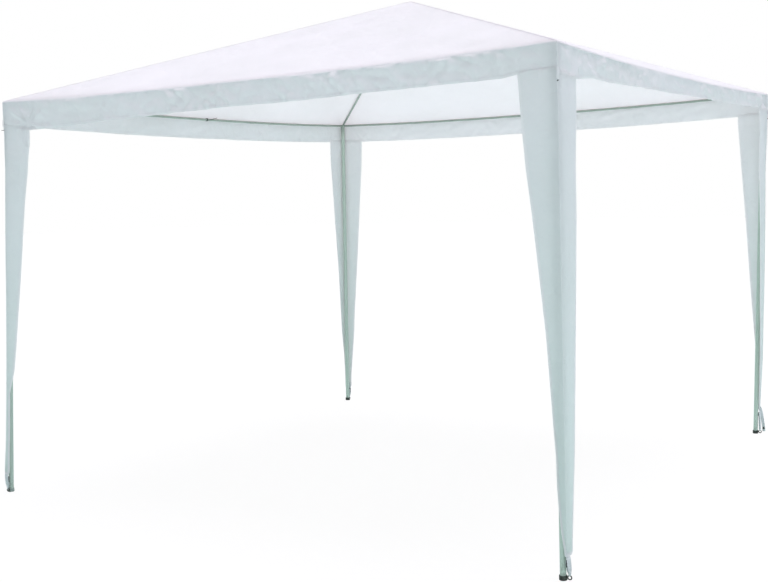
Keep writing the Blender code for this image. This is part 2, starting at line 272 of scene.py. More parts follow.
# %% [markdown]
# Nothing that stands on grass stays clean. Grime on a pavilion has two sources: a thin film in uneven
# patches all over, and earth that rain splashes up from the ground, which fades out within a hand's
# height. One group gives both as masks, and each material decides how strongly it shows them.

# %% Group: weathering
DROP_SCALE = 120.0
DROP_EDGE = (0.42, 0.62)
FILM_EDGE = (0.42, 0.72)


def make_weather_group():
    group, given, out = new_group(
        "Weathering",
        [("Vector", "Vector", None), ("Patch Scale", "Float", 6.0), ("Splash Height", "Float", 0.15)],
        [("Film", "Float"), ("Splash", "Float")],
    )
    film = noise_of(group, given["Vector"], given["Patch Scale"], 5.0, Roughness=0.6)
    height = height_of(group, given["Vector"])
    fade = less(group, 1.0, sum_of(group, "DIVIDE", height, given["Splash Height"]))
    drops = noise_of(group, given["Vector"], DROP_SCALE, 3.0)
    splash = times(group, spread(group, fade, 0.0, 1.0), spread(group, drops, *DROP_EDGE))
    plug(group, out["Film"], spread(group, film, *FILM_EDGE))
    plug(group, out["Splash"], splash)
    return group


weather_group = make_weather_group()
print("Made", weather_group.name)

# %% [markdown]
# Hems and hip seams are sewn, and a sewn line is a row of short dashes of thread that sit in a shallow
# furrow. Modelling thousands of stitches would cost far more than they show. A mask can draw them: it is 1
# within half a thread's width of the line, and it is cut into dashes by how far along the line it is.

# %% Group: stitching
THREAD_HALF = 0.0008
THREAD_CORE = 0.0004
FURROW_HALF = 0.0022
DASH_SHARE = (0.78, 0.70)


def make_stitch_group():
    group, given, out = new_group(
        "Stitching",
        [("Distance", "Float", 0.0), ("Along", "Float", 0.0), ("Stitch Length", "Float", 0.004)],
        [("Thread", "Float"), ("Furrow", "Float")],
    )
    away = sum_of(group, "ABSOLUTE", given["Distance"])
    count = sum_of(group, "DIVIDE", given["Along"], given["Stitch Length"])
    dash = spread(group, sum_of(group, "FRACT", count), *DASH_SHARE)
    plug(group, out["Thread"], times(group, spread(group, away, THREAD_HALF, THREAD_CORE), dash))
    plug(group, out["Furrow"], spread(group, away, FURROW_HALF, THREAD_CORE))
    return group


stitch_group = make_stitch_group()
print("Made", stitch_group.name)

# %% [markdown]
# The roof, valance and leg covers are one kind of sheet: white, thin enough to glow when light stands
# behind it, and a little shiny where it is creased. A Principled shader alone would be opaque, and a
# glassy one would show what lies behind it sharply. Mixing a Principled with a Translucent shader lets
# light through without a picture, as thin plastic does. The mesh is a closed sheet, so light passes two
# faces, and the share of Translucent is about the square root of what should come through. A faint
# green tone is painted in below the valance and grows downwards: painted light, for the green light
# that the lawn throws back up at the sheet.

# %% Material: white sheet
SHEET_COLOUR = (0.955, 0.955, 0.98, 1)
SHEET_GLOW = (0.98, 0.92, 0.915, 1)
GRIME_COLOUR = (0.62, 0.68, 0.60, 1)
LAWN_BOUNCE_COLOUR = (0.84, 0.96, 0.92, 1)
LAWN_BOUNCE_TOP = 1.9
# Partly the doubled sheet's own whiter look, partly a painted highlight.
HEM_DOUBLED_AND_LIT_COLOUR = (0.99, 0.99, 1.0, 1)
SEAM_COLOUR = (0.82, 0.82, 0.86, 1)
THREAD_COLOUR = (0.78, 0.80, 0.82, 1)
SHEET_THROUGH = 0.48
SHEET_TAPE = 0.0022
SHEET_ROUGHNESS = (0.27, 0.44)
FILM_SHARE = 0.14
SPLASH_SHARE = 0.40
THREAD_SHARE = 0.7
CREASE_SCALE = 7.0
CRACKLE_SCALE = 30.0
HEM_WIDTH = 0.014
HEM_FADE = 0.0015
HIP_WELT = 0.007
WELT_FADE = 0.001
THREAD_INSET = 0.002


def new_material(name):
    """A node material. Returns it with its tree, its Principled shader and points in object space."""
    made = bpy.data.materials.new(name)
    made.use_nodes = True
    tree = made.node_tree
    place = tree.nodes.new("ShaderNodeTexCoord").outputs["Object"]
    return made, tree, tree.nodes["Principled BSDF"], place


def cloth_place(tree):
    """Points on the flat cut of a sheet, in metres."""
    return add_node(tree, "UVMap", {}, uv_map="cut").outputs["UV"]


def bump(tree, height, distance, strength=1.0, normal=None):
    """Turns a height into a tilt of the surface, on top of another one where that is given."""
    inputs = {"Height": height, "Distance": distance, "Strength": strength}
    if normal is not None:
        inputs["Normal"] = normal
    return add_node(tree, "Bump", inputs).outputs["Normal"]


def finish_shader(tree, shader, colour, roughness, normal):
    """Fills the three inputs that every finish here has."""
    plug(tree, shader.inputs["Base Color"], colour)
    plug(tree, shader.inputs["Roughness"], roughness)
    plug(tree, shader.inputs["Normal"], normal)


def sewn_lines(tree, cut):
    """Masks for the hems, the welts on the hips, and the thread and furrow of both."""
    parts = add_node(tree, "SeparateXYZ", {0: cut}).outputs
    across_x = sum_of(tree, "ABSOLUTE", parts["X"])
    across_y = sum_of(tree, "ABSOLUTE", parts["Y"])
    along = sum_of(tree, "ADD", across_x, across_y)
    from_hip = times(tree, less(tree, across_x, across_y), math.sqrt(0.5))
    from_hip = sum_of(tree, "ABSOLUTE", from_hip)
    from_edge = add_node(tree, "Attribute", {}, attribute_name="from_edge").outputs["Fac"]
    # How much lighter the hem is painted on each side: partly the doubled sheet, partly a painted
    # highlight.
    painted_hem_lightness = add_node(tree, "Attribute", {}, attribute_name="hem").outputs["Fac"]
    hem = times(tree, painted_hem_lightness, spread(tree, from_edge, HEM_WIDTH, HEM_WIDTH - HEM_FADE))
    welt = spread(tree, from_hip, HIP_WELT + WELT_FADE, HIP_WELT)
    lines = []
    for distance in (less(tree, from_edge, HEM_WIDTH - THREAD_INSET),
                     less(tree, from_hip, HIP_WELT - THREAD_INSET)):
        lines.append(use_group(tree, stitch_group, {"Distance": distance, "Along": along}))
    thread = sum_of(tree, "MAXIMUM", lines[0]["Thread"], lines[1]["Thread"])
    furrow = sum_of(tree, "MAXIMUM", lines[0]["Furrow"], lines[1]["Furrow"])
    return hem, welt, thread, furrow


def make_sheet_material():
    made, tree, shader, place = new_material("white_sheet")
    cut = cloth_place(tree)
    weave = use_group(tree, weave_group, {"Vector": cut, "Tape Width": SHEET_TAPE})
    creases = use_group(tree, crease_group, {"Vector": place, "Scale": CREASE_SCALE, "Bend": 0.06})
    crackle = use_group(tree, crease_group, {"Vector": place, "Scale": CRACKLE_SCALE, "Bend": 0.02})
    weather = use_group(tree, weather_group, {"Vector": place, "Patch Scale": 2.2, "Splash Height": 0.30})
    hem, welt, thread, furrow = sewn_lines(tree, cut)

    colour = blend(tree, times(tree, weather["Film"], FILM_SHARE), SHEET_COLOUR, GRIME_COLOUR)
    # Painted light: a green tone that grows towards the ground stands in for the light that the lawn throws
    # back.
    lawn_bounce = spread(tree, height_of(tree, place), LAWN_BOUNCE_TOP, 0.0)
    colour = blend(tree, lawn_bounce, colour, LAWN_BOUNCE_COLOUR)
    colour = blend(tree, times(tree, weather["Splash"], SPLASH_SHARE), colour, GRIME_COLOUR)
    # The hem is painted lighter: partly the doubled sheet, partly a painted highlight.
    colour = blend(tree, hem, colour, HEM_DOUBLED_AND_LIT_COLOUR)
    colour = blend(tree, welt, colour, SEAM_COLOUR)
    colour = blend(tree, times(tree, thread, THREAD_SHARE), colour, THREAD_COLOUR)
    roughness = spread(tree, creases["Patch"], 0.0, 0.7, *SHEET_ROUGHNESS)
    shader.inputs["IOR"].default_value = 1.5

    creased = bump(tree, creases["Height"], 0.003, 0.75)
    creased = bump(tree, crackle["Height"], 0.0008, 0.55, creased)
    creased = bump(tree, less(tree, welt, furrow), 0.0008, 0.8, creased)
    normal = bump(tree, weave["Height"], 0.0003, 0.5, creased)
    finish_shader(tree, shader, colour, roughness, normal)
    glow = add_node(tree, "BsdfTranslucent", {"Color": SHEET_GLOW, "Normal": normal})
    both = add_node(tree, "MixShader", {0: SHEET_THROUGH, 1: shader.outputs[0], 2: glow.outputs[0]})
    tree.links.new(both.outputs[0], tree.nodes["Material Output"].inputs["Surface"])
    return made


white_sheet = make_sheet_material()
print("Made", white_sheet.name)

# %% [markdown]
# The straps are woven tape: thicker, matt, and with a weave coarse enough to see when close. The sheet's
# material could be used again, but tape doesn't glow, and earth stays in its weave.

# %% Material: woven tape
TAPE_COLOUR = (0.83, 0.84, 0.85, 1)
TAPE_DIRT = (0.48, 0.52, 0.48, 1)
TAPE_THREAD = 0.0011


def make_tape_material():
    made, tree, shader, place = new_material("white_tape")
    weave = use_group(tree, weave_group, {"Vector": cloth_place(tree), "Tape Width": TAPE_THREAD})
    weather = use_group(tree, weather_group, {"Vector": place, "Patch Scale": 30.0, "Splash Height": 0.12})
    between = less(tree, 1.0, weave["Height"])
    colour = blend(tree, times(tree, between, 0.35), TAPE_COLOUR, TAPE_DIRT)
    colour = blend(tree, times(tree, weather["Splash"], 0.6), colour, TAPE_DIRT)
    roughness = spread(tree, weather["Film"], 0.0, 1.0, 0.62, 0.82)
    finish_shader(tree, shader, colour, roughness, bump(tree, weave["Height"], 0.0004))
    return made


white_tape = make_tape_material()
print("Made", white_tape.name)

# %% [markdown]
# The tubes are steel with a grey-green powder coat. Powder melts into a skin that is never quite even:
# it has the dimples of an orange's peel, a slightly cloudy colour, and fine scratches that run along the
# tube where another tube has slid over it. Noise that is stretched along the height draws such scratches
# on the legs, and as rails and rafters were handled as much, they may share them. Below the roof the
# legs are painted a paler coat, and the tubes up in the roof a darker one: painted light on the legs in
# the open, and painted shade where the roof shades the rails and rafters.

# %% Material: coated steel
ROOF_SHADED_COAT_COLOUR = (0.37, 0.42, 0.37, 1)
COAT_CLOUD = (0.31, 0.36, 0.31, 1)
SUNLIT_LEG_COAT_COLOUR = (0.57, 0.66, 0.575, 1)
SCRATCH_COLOUR = (0.62, 0.66, 0.63, 1)
SHADE_FROM = 1.99
SHADE_FADE = 0.06
EARTH_COLOUR = (0.16, 0.15, 0.11, 1)


def make_steel_material():
    made, tree, shader, place = new_material("coated_steel")
    weather = use_group(tree, weather_group, {"Vector": place, "Patch Scale": 14.0, "Splash Height": 0.10})
    stretched = add_node(tree, "Mapping", {"Vector": place, "Scale": (420, 420, 9)}).outputs[0]
    scratch = spread(tree, noise_of(tree, stretched, 1.0, 2.0), 0.66, 0.74)
    # Painted light and shade: the coat is paler on the legs below the roof and darker on the tubes in the
    # roof's shade.
    sunlit_leg_share = times(tree, spread(tree, height_of(tree, place), SHADE_FROM, SHADE_FROM - SHADE_FADE), 0.92)
    colour = blend(tree, weather["Film"], ROOF_SHADED_COAT_COLOUR, COAT_CLOUD)
    colour = blend(tree, sunlit_leg_share, colour, SUNLIT_LEG_COAT_COLOUR)
    colour = blend(tree, times(tree, scratch, 0.5), colour, SCRATCH_COLOUR)
    colour = blend(tree, times(tree, weather["Splash"], 0.5), colour, EARTH_COLOUR)
    shader.inputs["Metallic"].default_value = 0.15
    roughness = spread(tree, weather["Film"], 0.0, 1.0, 0.34, 0.50)
    skin = bump(tree, noise_of(tree, place, 900.0, 1.0), 0.0002, 0.35)
    finish_shader(tree, shader, colour, roughness, bump(tree, scratch, -0.0001, 0.5, skin))
    return made


coated_steel = make_steel_material()
print("Made", coated_steel.name)

# %% [markdown]
# Feet, rings and buckles are moulded black plastic. Fresh from the mould it would be even and shiny, but
# these stand on the ground, so their skin is matt where it rubs, and dry earth clings to their lower
# edge. A fine grain in the bump keeps small rounded shapes from looking like wet paint. The foot at the
# front left is given a pale grey-green tone, almost as pale as its tube, so the same tree is built twice.

# %% Material: black plastic
PLASTIC_COLOUR = (0.016, 0.020, 0.016, 1)
PLASTIC_RUB = (0.055, 0.062, 0.052, 1)
PALE_FOOT_COLOUR = (0.50, 0.58, 0.52, 1)


def make_plastic_material(name, paleness):
    made, tree, shader, place = new_material(name)
    weather = use_group(tree, weather_group, {"Vector": place, "Patch Scale": 60.0, "Splash Height": 0.03})
    colour = blend(tree, weather["Film"], PLASTIC_COLOUR, PLASTIC_RUB)
    colour = blend(tree, times(tree, weather["Splash"], 0.35), colour, EARTH_COLOUR)
    bare = times(tree, weather["Splash"], 0.8)
    # The front left foot blends towards a pale grey-green tone, less where earth is splashed.
    colour = blend(tree, times(tree, less(tree, 1.0, bare), paleness), colour, PALE_FOOT_COLOUR)
    roughness = spread(tree, weather["Film"], 0.0, 1.0, 0.38, 0.62)
    grain = noise_of(tree, place, 1400.0, 2.0)
    finish_shader(tree, shader, colour, roughness, bump(tree, grain, 0.0002, 0.4))
    return made


black_plastic = make_plastic_material("black_plastic", 0.0)
pale_plastic = make_plastic_material("pale_plastic", 0.85)
print("Made", black_plastic.name, "and", pale_plastic.name)

# %% [markdown]
# The frame's own solids already have the right shapes, so they only take a new finish. Their record says
# which slot each of them belongs to, so a loop can dress all of them without a list of names. Round
# pieces are shaded smooth, and edges that turn by more than a given angle stay sharp.

# %% Dress the tubes, connectors, feet and rings
SHARP_ON_SOLIDS = 35
PALE_FOOT = "foot_front_left"
FINISHES = {
    "white_sheet": white_sheet,
    "white_tape": white_tape,
    "coated_steel": coated_steel,
    "black_plastic": black_plastic,
}


def smooth(piece, sharp_degrees):
    """Shades a piece smooth, apart from edges that turn by more than this angle."""
    piece.data.shade_smooth()
    piece.data.set_sharp_from_angle(angle=math.radians(sharp_degrees))


def dress(piece, slot):
    """Gives a piece its finish, in Blender and in the table of pieces."""
    piece.data.materials.clear()
    piece.data.materials.append(FINISHES[slot])


for row in frame["record"]["subparts"]:
    solid = frame["nodes"][row["node"]]
    dress(solid, row["material_slot"])
    if row["material_slot"] in ("coated_steel", "black_plastic"):
        smooth(solid, SHARP_ON_SOLIDS)
frame["nodes"][PALE_FOOT].data.materials[0] = pale_plastic

# %% [markdown]
# The sheet has to fit tubes that are already there, so its driving sizes are read from the frame: the
# middle of the roof, how far out the rails and the eaves lie, how high the peak is, and how much the
# rails hang between the corners. Typed in as numbers, they would go wrong the day the frame changes. Only
# the gap at a seam and the upright thickness of the frame's own panels are stated, as no box shows them.

# %% Driving sizes from the frame
CORNERS = {"front_right": (1, -1), "front_left": (-1, -1), "back_left": (-1, 1), "back_right": (1, 1)}
SIDES = ("front", "right", "back", "left")
SEAM_GAP = 0.0003
PANEL_HEIGHT = 0.0021
SHEET_THICKNESS = 0.001
BOW_POWER = 2.5


def middle_of(name):
    low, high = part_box(name)
    return (low + high) / 2


middle = (middle_of("valance_front") + middle_of("valance_back")) / 2
half = middle.y - middle_of("rail_front_left_half").y
rail_low, rail_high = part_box("rail_front_left_half")
rail_radius = (rail_high.y - rail_low.y) / 2
valance_low, valance_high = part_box("valance_front")
roof_low, roof_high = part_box("roof_panel_front")
eave = middle.y - valance_low.y
rail_bow = valance_high.z + SEAM_GAP - roof_low.z
valance_depth = valance_high.z - valance_low.z - rail_bow
peak_top = roof_high.z
slope = (peak_top - PANEL_HEIGHT - roof_low.z - rail_bow) / eave
print(f"Rails lie {half:.3f} m out and eaves {eave:.3f} m, at a slope of {slope:.3f}")
print(f"The valance is {valance_depth:.3f} m deep")


def bow(along):
    """How far a rail hangs below its ends, at this distance from the middle of its side."""
    share = min(abs(along) / half, 1)
    return rail_bow * (1 - share**BOW_POWER)


def on_side(side, along, out, height):
    """A point by its place along a side, its distance out from the middle, and its height."""
    turned = {
        "front": (along, -out),
        "right": (out, along),
        "back": (-along, out),
        "left": (-out, -along),
    }[side]
    return Vector((middle.x + turned[0], middle.y + turned[1], height))

# %% [markdown]
# All folds below are made from a few kinds of wave. A fold is strong in one place and dies out in another,
# so each wave is multiplied by a smooth ramp between 0 and 1. Blender's noise is the same at every run,
# which matters: the sheet must look alike each time. A ridge is noise folded at zero, with sharp crests.
# Sheet that was packed doesn't wave but buckles into flat facets, so noise is also folded along three
# directions and added up, which gives the crossed creases of crumpled paper.

# %% Waves that folds are made from
CREASE_DIRECTIONS = ((32, 1.0), (-38, 0.8), (85, 0.5))
CREASE_STRETCH = 2.6


def ramp(value, low, high):
    """0 below low, 1 above high, and a smooth rise in between."""
    share = min(max((value - low) / (high - low), 0), 1)
    return share * share * (3 - 2 * share)


def hills(x, y, layer):
    """Soft random hills and hollows, between about -1 and 1. The layer picks another pattern."""
    return noise.noise(Vector((x, y, layer)))


def ridge(x, y, layer, sharpness=3):
    """Thin random crests, between 0 and 1, on a flat ground."""
    return (1 - abs(hills(x, y, layer))) ** (2 * sharpness)


def bell(distance, width):
    """A single rounded bump of height 1."""
    return math.exp(-((distance / width) ** 2))


def crumple(x, y, size, layer):
    """Crossed creases of this size, as in crumpled paper, between about -1 and 1."""
    total = 0.0
    for degrees, weight in CREASE_DIRECTIONS:
        turned = math.radians(degrees)
        along = x * math.cos(turned) + y * math.sin(turned)
        across = y * math.cos(turned) - x * math.sin(turned)
        total += weight * abs(hills(along / (CREASE_STRETCH * size), across / size, layer + degrees))
    return 2 * total - 0.9


def from_table(table, place):
    """A value between the rows of a table of places and values."""
    return float(np.interp(place, [row[0] for row in table], [row[1] for row in table]))

# %% [markdown]
# The roof's sheet is pulled from the peak to the four corners, and lies on rafters and rails. Between
# them it sags a little. From each corner folds fan out along the hip, because there the pull is
# strongest. Over the tubes the sheet can't go down, so a mask of free sheet keeps all folds off them.

# %% The shape of the roof
ROOF_SAG = 0.016
ROOF_HILLS = 0.007
HILL_SCALE = 1.9
SMALL_HILLS = 0.4
SMALL_HILL_SCALE = 5.5
ROOF_CRESTS = 0.0035
CREST_SCALE = 3.1
FREE_OF_RAFTER = (0.012, 0.13)
FREE_OF_RAIL = (0.015, 0.12)
FAN_DEPTH = 0.005
FAN_FOLDS = 13
FAN_RISE = (0.05, 0.30)
FAN_FADE = (0.45, 1.35)
PEAK_FOLD_DEPTH = 0.003
PEAK_FOLDS = 22
PEAK_RISE = (0.03, 0.15)
PEAK_FADE = (0.2, 0.75)


def free_sheet(x, y):
    """1 where the sheet spans open air, and 0 where it lies on a rafter or a rail."""
    out = max(abs(x), abs(y))
    from_rafter = abs(abs(x) - abs(y)) / math.sqrt(2)
    return ramp(from_rafter, *FREE_OF_RAFTER) * ramp(half - out, *FREE_OF_RAIL)


def corner_fan(x, y):
    """Folds that spread from the nearest corner, deepest a hand's breadth away from it."""
    along_x = eave - abs(x)
    along_y = eave - abs(y)
    reach = math.hypot(along_x, along_y)
    turn = math.atan2(along_y, along_x) + 0.25 * hills(reach * 2, x + y, 3)
    strength = ramp(reach, *FAN_RISE) * (1 - ramp(reach, *FAN_FADE))
    return strength * math.cos(FAN_FOLDS * turn)


def peak_fan(x, y):
    """Small folds that run down from the peak."""
    reach = math.hypot(x, y)
    turn = math.atan2(y, x) + 0.2 * hills(reach * 3, x - y, 4)
    return ramp(reach, *PEAK_RISE) * (1 - ramp(reach, *PEAK_FADE)) * math.cos(PEAK_FOLDS * turn)


def roof_height(x, y):
    """The height of the roof's upper face over a point in plan, counted from the middle."""
    out = max(abs(x), abs(y), 0.001)
    share = min(abs(x), abs(y)) / out
    plain = peak_top - slope * out - bow(share * half) * out / eave
    sag = ROOF_SAG * math.sin(math.pi * min(out / half, 1)) * (1 - share**2)
    soft = ROOF_HILLS * hills(x * HILL_SCALE, y * HILL_SCALE, 1)
    soft += ROOF_HILLS * SMALL_HILLS * hills(x * SMALL_HILL_SCALE, y * SMALL_HILL_SCALE, 2)
    crests = ROOF_CRESTS * (ridge(x * CREST_SCALE, y * CREST_SCALE, 5) - 0.3)
    fans = FAN_DEPTH * corner_fan(x, y) + PEAK_FOLD_DEPTH * peak_fan(x, y)
    return plain + free_sheet(x, y) * (soft + crests + fans - sag)


print("The roof is", round(roof_height(0, 0), 3), "m high at its peak")

# %% [markdown]
# The valance hangs from the eaves, and neither of its edges is straight. The upper one dips where the sheet
# is slack over the rail, and puckers a little. The lower one isn't level either. A table gives its rise for
# the front and the right side, as read from a photograph, and the other two sides get the plain cut.

# %% The edges of the valance
HEM_RISE = {
    "front": ((-1.52, -0.010), (-1.34, -0.032), (-0.76, -0.006), (0.01, 0.009), (0.35, 0.006),
              (0.66, 0.011), (1.07, 0.007), (1.29, 0.005), (1.35, 0.012), (1.52, 0.0145)),
    "right": ((-1.52, 0.002), (-1.36, -0.005), (-1.20, 0.014), (-0.50, 0.027), (0.15, 0.037), (1.28, 0.036),
              (1.41, 0.022), (1.50, 0.010)),
}
EAVE_DIPS = {"front": ((-1.02, 0.16, 0.004), (0.39, 0.13, 0.004), (0.98, 0.10, 0.003))}
HEM_FLUTTER = 0.002
EAVE_FLUTTER = 0.0018
EAVE_PUCKERS = 0.0016


def round_the_eaves(side, along):
    """Metres along the eaves, counted all the way round, so that folds don't repeat on each side."""
    return SIDES.index(side) * 2 * eave + along


def plain_eave(along):
    """The height of the upper edge without any unevenness."""
    return peak_top - slope * eave - bow(along * half / eave)


def eave_height(side, along):
    """The height of the upper edge, where the sheet turns down."""
    place = round_the_eaves(side, along)
    dips = sum(depth * bell(along - at, width) for at, width, depth in EAVE_DIPS.get(side, ()))
    flutter = EAVE_FLUTTER * hills(place * 7, 0.0, 21)
    flutter += EAVE_PUCKERS * (abs(hills(place * 17, 0.0, 22)) - 0.25)
    return plain_eave(along) - dips + flutter * ramp(eave - abs(along), 0.03, 0.2)


def hem_rise(side, along):
    """How far the valance's lower edge lies above its plain cut."""
    rise = from_table(HEM_RISE[side], along) if side in HEM_RISE else 0.0
    flutter = HEM_FLUTTER * hills(round_the_eaves(side, along) * 8, 0.0, 23)
    return rise + flutter * ramp(eave - abs(along), 0.02, 0.2)


front_hem = plain_eave(0) - valance_depth + hem_rise("front", 0)
print("The front valance's hem is", round(front_hem, 3), "m high in its middle")

# %% [markdown]
# Three kinds of crease have a place of their own. Small diamond buckles lie where the sheet was crushed.
# Where a leg cover pulls at the lower edge, creases spread up from that point. And just under the eaves the
# sheet is sucked in here and there, in shallow hollows that lie in shade. They could be drawn as bumps in
# the material, but only real hollows change how the edge of the sheet looks against the light.

# %% Creases in the valance
CRINKLES = {
    "front": ((-1.05, 0.020, 0.05), (-0.10, 0.050, 0.05), (0.98, 0.016, 0.03), (1.26, 0.014, 0.03)),
    "right": ((-1.17, 0.085, 0.06), (-1.06, 0.030, 0.06), (-0.77, 0.040, 0.07), (-0.65, 0.045, 0.05),
              (-0.07, 0.055, 0.07), (0.60, 0.040, 0.06)),
}
COVER_PULLS = {("front", -1): (0.185, 1.4), ("front", 1): (0.166, 0.25), ("right", -1): (0.178, 0.35)}
COVER_PULL = (0.168, 0.4)
COVER_PULL_CREASES = 12
TUCK_IN = 0.0045
TUCK_IN_DROP = 0.022


def crinkle(side, along, drop):
    """Small diamond buckles: two crossed ridges that fade out together."""
    total = 0.0
    for at, depth, size in CRINKLES.get(side, ()):
        x = along - at
        y = (drop - depth) * 1.3
        if abs(x) < 2 * size:
            crossed = math.cos((x + y) * 5.2 / size) * math.cos((x - y) * 3.7 / size)
            total += bell(math.hypot(x, y), size * 0.7) * crossed
    return total


def cover_pull(side, along, drop):
    """Uneven creases that spread from where the leg cover's edge meets the valance's lower edge."""
    width, strength = COVER_PULLS.get((side, 1 if along > 0 else -1), COVER_PULL)
    across = eave - abs(along) - width
    up = valance_depth - drop
    reach = math.hypot(across, up)
    strength *= ramp(reach, 0.006, 0.03) * (1 - ramp(reach, 0.07, 0.20))
    turn = math.atan2(up, across)
    wobble = 2 * hills(turn * 1.3, reach * 6, 17 + along)
    return strength * (1 - 2 * abs(math.sin(COVER_PULL_CREASES / 2 * turn + wobble)))


def tuck_in(place, drop):
    """Shallow hollows just under the eaves."""
    share = drop / TUCK_IN_DROP
    return -TUCK_IN * ramp(hills(place * 3.3, 0.0, 19), -0.05, 0.25) * share * math.exp(1 - share)

# %% [markdown]
# The valance is only held at its corners, so it moves freely: long lazy waves, slanting folds, and crumples
# on top, which are stronger in some places than in others. All of it is added up to one swing, in or out.
# The swing is held back beside the rail, because the sheet can't go through the tube.

# %% The shape of the valance
CRUMPLING = {
    "front": ((-1.52, 0.5), (-1.2, 0.9), (-0.8, 1.3), (-0.3, 1.5), (0.2, 1.5), (0.7, 1.7), (1.3, 1.3),
              (1.52, 0.5)),
    "right": ((-1.52, 0.6), (-1.3, 1.2), (-0.6, 0.9), (0.2, 0.7), (0.9, 1.5), (1.52, 2.2)),
}
PLAIN_CRUMPLING = 0.6
CRUMPLE_DEPTH = 0.0070
CRUMPLE_SIZE = 0.052
CRINKLE_DEPTH = 0.0048
COVER_PULL_DEPTH = 0.0036
LAZY_WAVE = 0.010
SLANTED_FOLD = 0.007
RAIL_CLEARANCE = 0.002
BELOW_RAIL = (0.03, 0.07)
INWARD_BELOW_RAIL = 0.03


def valance_swing(side, along, drop):
    """How far the valance stands out from its flat place. Beside the rail it can't go far inwards."""
    place = round_the_eaves(side, along)
    from_corner = eave - abs(along)
    hang = drop / valance_depth
    lazy = LAZY_WAVE * hills(place * 2.1 + drop * 3, drop * 2, 11) * (0.25 + 0.75 * hang)
    slanted = SLANTED_FOLD * hills(place * 5 - drop * 18, drop * 14 + place * 1.5, 12)
    swing = ramp(from_corner, 0.02, 0.40) * (lazy + slanted)
    strength = from_table(CRUMPLING[side], along) if side in CRUMPLING else PLAIN_CRUMPLING
    rough = CRUMPLE_DEPTH * strength * crumple(place, drop, CRUMPLE_SIZE, 13)
    rough += CRINKLE_DEPTH * crinkle(side, along, drop)
    rough += COVER_PULL_DEPTH * cover_pull(side, along, drop)
    swing += (rough + tuck_in(place, drop)) * ramp(from_corner, 0.005, 0.06)
    swing *= ramp(drop, 0.0, 0.02)
    room = eave - half - rail_radius - SHEET_THICKNESS - RAIL_CLEARANCE
    return max(swing, -room - INWARD_BELOW_RAIL * ramp(drop, *BELOW_RAIL))


def valance_point(side, along, drop_share, out=None):
    """A point of the valance: 0 is its upper edge and 1 its lower edge."""
    out = eave if out is None else out
    top = eave_height(side, along)
    depth = valance_depth - hem_rise(side, along) + top - plain_eave(along)
    drop = drop_share * depth
    swing = valance_swing(side, along, drop)
    return on_side(side, along, out + swing, top - drop)


front_swing = valance_swing("front", 0, valance_depth)
print("There it swings by", round(1000 * front_swing, 1), "mm")

# %% [markdown]
# Roof and valance are one sheet on the real object, so they become one mesh. The roof is a square grid
# seen from above. The valance needs finer columns than the roof to hold its creases, so the roof's outer
# cells take three extra points on their rim. The grid's cells on the hips are cut along the hip, which
# keeps the ridges straight. The last grid line before the rim lies just outside the rail: without it a cell
# would cut through the tube.

# %% The grid of the roof
ROOF_CELLS = 108
FINER = 4
EDGE_ROUND = 0.007
PAST_RAIL = 0.002
RIM_LIFT = 0.0025


def grid_lines():
    """Places of the roof's grid lines, the same along X and Y."""
    reach = eave - EDGE_ROUND
    lines = [reach * (2 * i / ROOF_CELLS - 1) for i in range(ROOF_CELLS + 1)]
    lines[1] = -(half + PAST_RAIL)
    lines[-2] = half + PAST_RAIL
    return lines


def rim_places():
    """Side and place along it for each column of the valance, all the way round."""
    lines = grid_lines()
    places = []
    for side in SIDES:
        for here, after in zip(lines, lines[1:]):
            places += [(side, here + (after - here) * step / FINER) for step in range(FINER)]
    return places


def roof_points(shape):
    """The roof's grid of vertices, by row and column."""
    lines = grid_lines()
    return [
        [shape.verts.new((middle.x + x, middle.y + y, roof_height(x, y))) for x in lines] for y in lines
    ]


def rim_from_grid(shape, grid, places):
    """The roof's rim, with the grid's own vertices where it has them and new ones in between."""
    last = ROOF_CELLS
    edge = [grid[0][i] for i in range(last)] + [grid[i][last] for i in range(last)]
    edge += [grid[last][last - i] for i in range(last)] + [grid[last - i][0] for i in range(last)]
    rim = []
    for number, (side, along) in enumerate(places):
        if number % FINER == 0:
            vertex = edge[number // FINER]
        else:
            vertex = shape.verts.new(on_side(side, along, eave - EDGE_ROUND, 0))
        vertex.co.z = eave_height(side, along) + RIM_LIFT
        rim.append(vertex)
    return rim


def roof_cells(shape, grid, rim):
    """The roof's faces. Cells on the rim take its extra vertices, and cells on a hip are cut in two."""
    between = {}
    for number in range(0, len(rim), FINER):
        run = [rim[(number + step) % len(rim)] for step in range(FINER + 1)]
        between[(run[0], run[-1])] = run[1:-1]
    for j in range(ROOF_CELLS):
        for i in range(ROOF_CELLS):
            ring = [grid[j][i], grid[j][i + 1], grid[j + 1][i + 1], grid[j + 1][i]]
            if i == j:
                cuts = [[ring[0], ring[1], ring[2]], [ring[0], ring[2], ring[3]]]
            elif i + j == ROOF_CELLS - 1:
                cuts = [[ring[0], ring[1], ring[3]], [ring[1], ring[2], ring[3]]]
            else:
                cuts = [ring]
            for cut in cuts:
                loop = []
                for first, second in zip(cut, cut[1:] + cut[:1]):
                    loop += [first] + between.get((first, second), [])
                shape.faces.new(loop)


print(len(grid_lines()), "grid lines each way,", len(rim_places()), "columns round the rim")

# %% [markdown]
# At the eaves the sheet doesn't break at an edge, but turns down in a tight round. Three rows of points
# make that round. The rows below it follow the shape of the valance, and the last ones lie close together,
# because the hem is doubled sheet that stands a little proud.

# %% The rows of the valance
ROUND_ANGLES = (35, 65, 90)
VALANCE_ROWS = 13
FIRST_ROW = 0.08
HEM_ROW = 0.012
HEM_PROUD = 0.0008


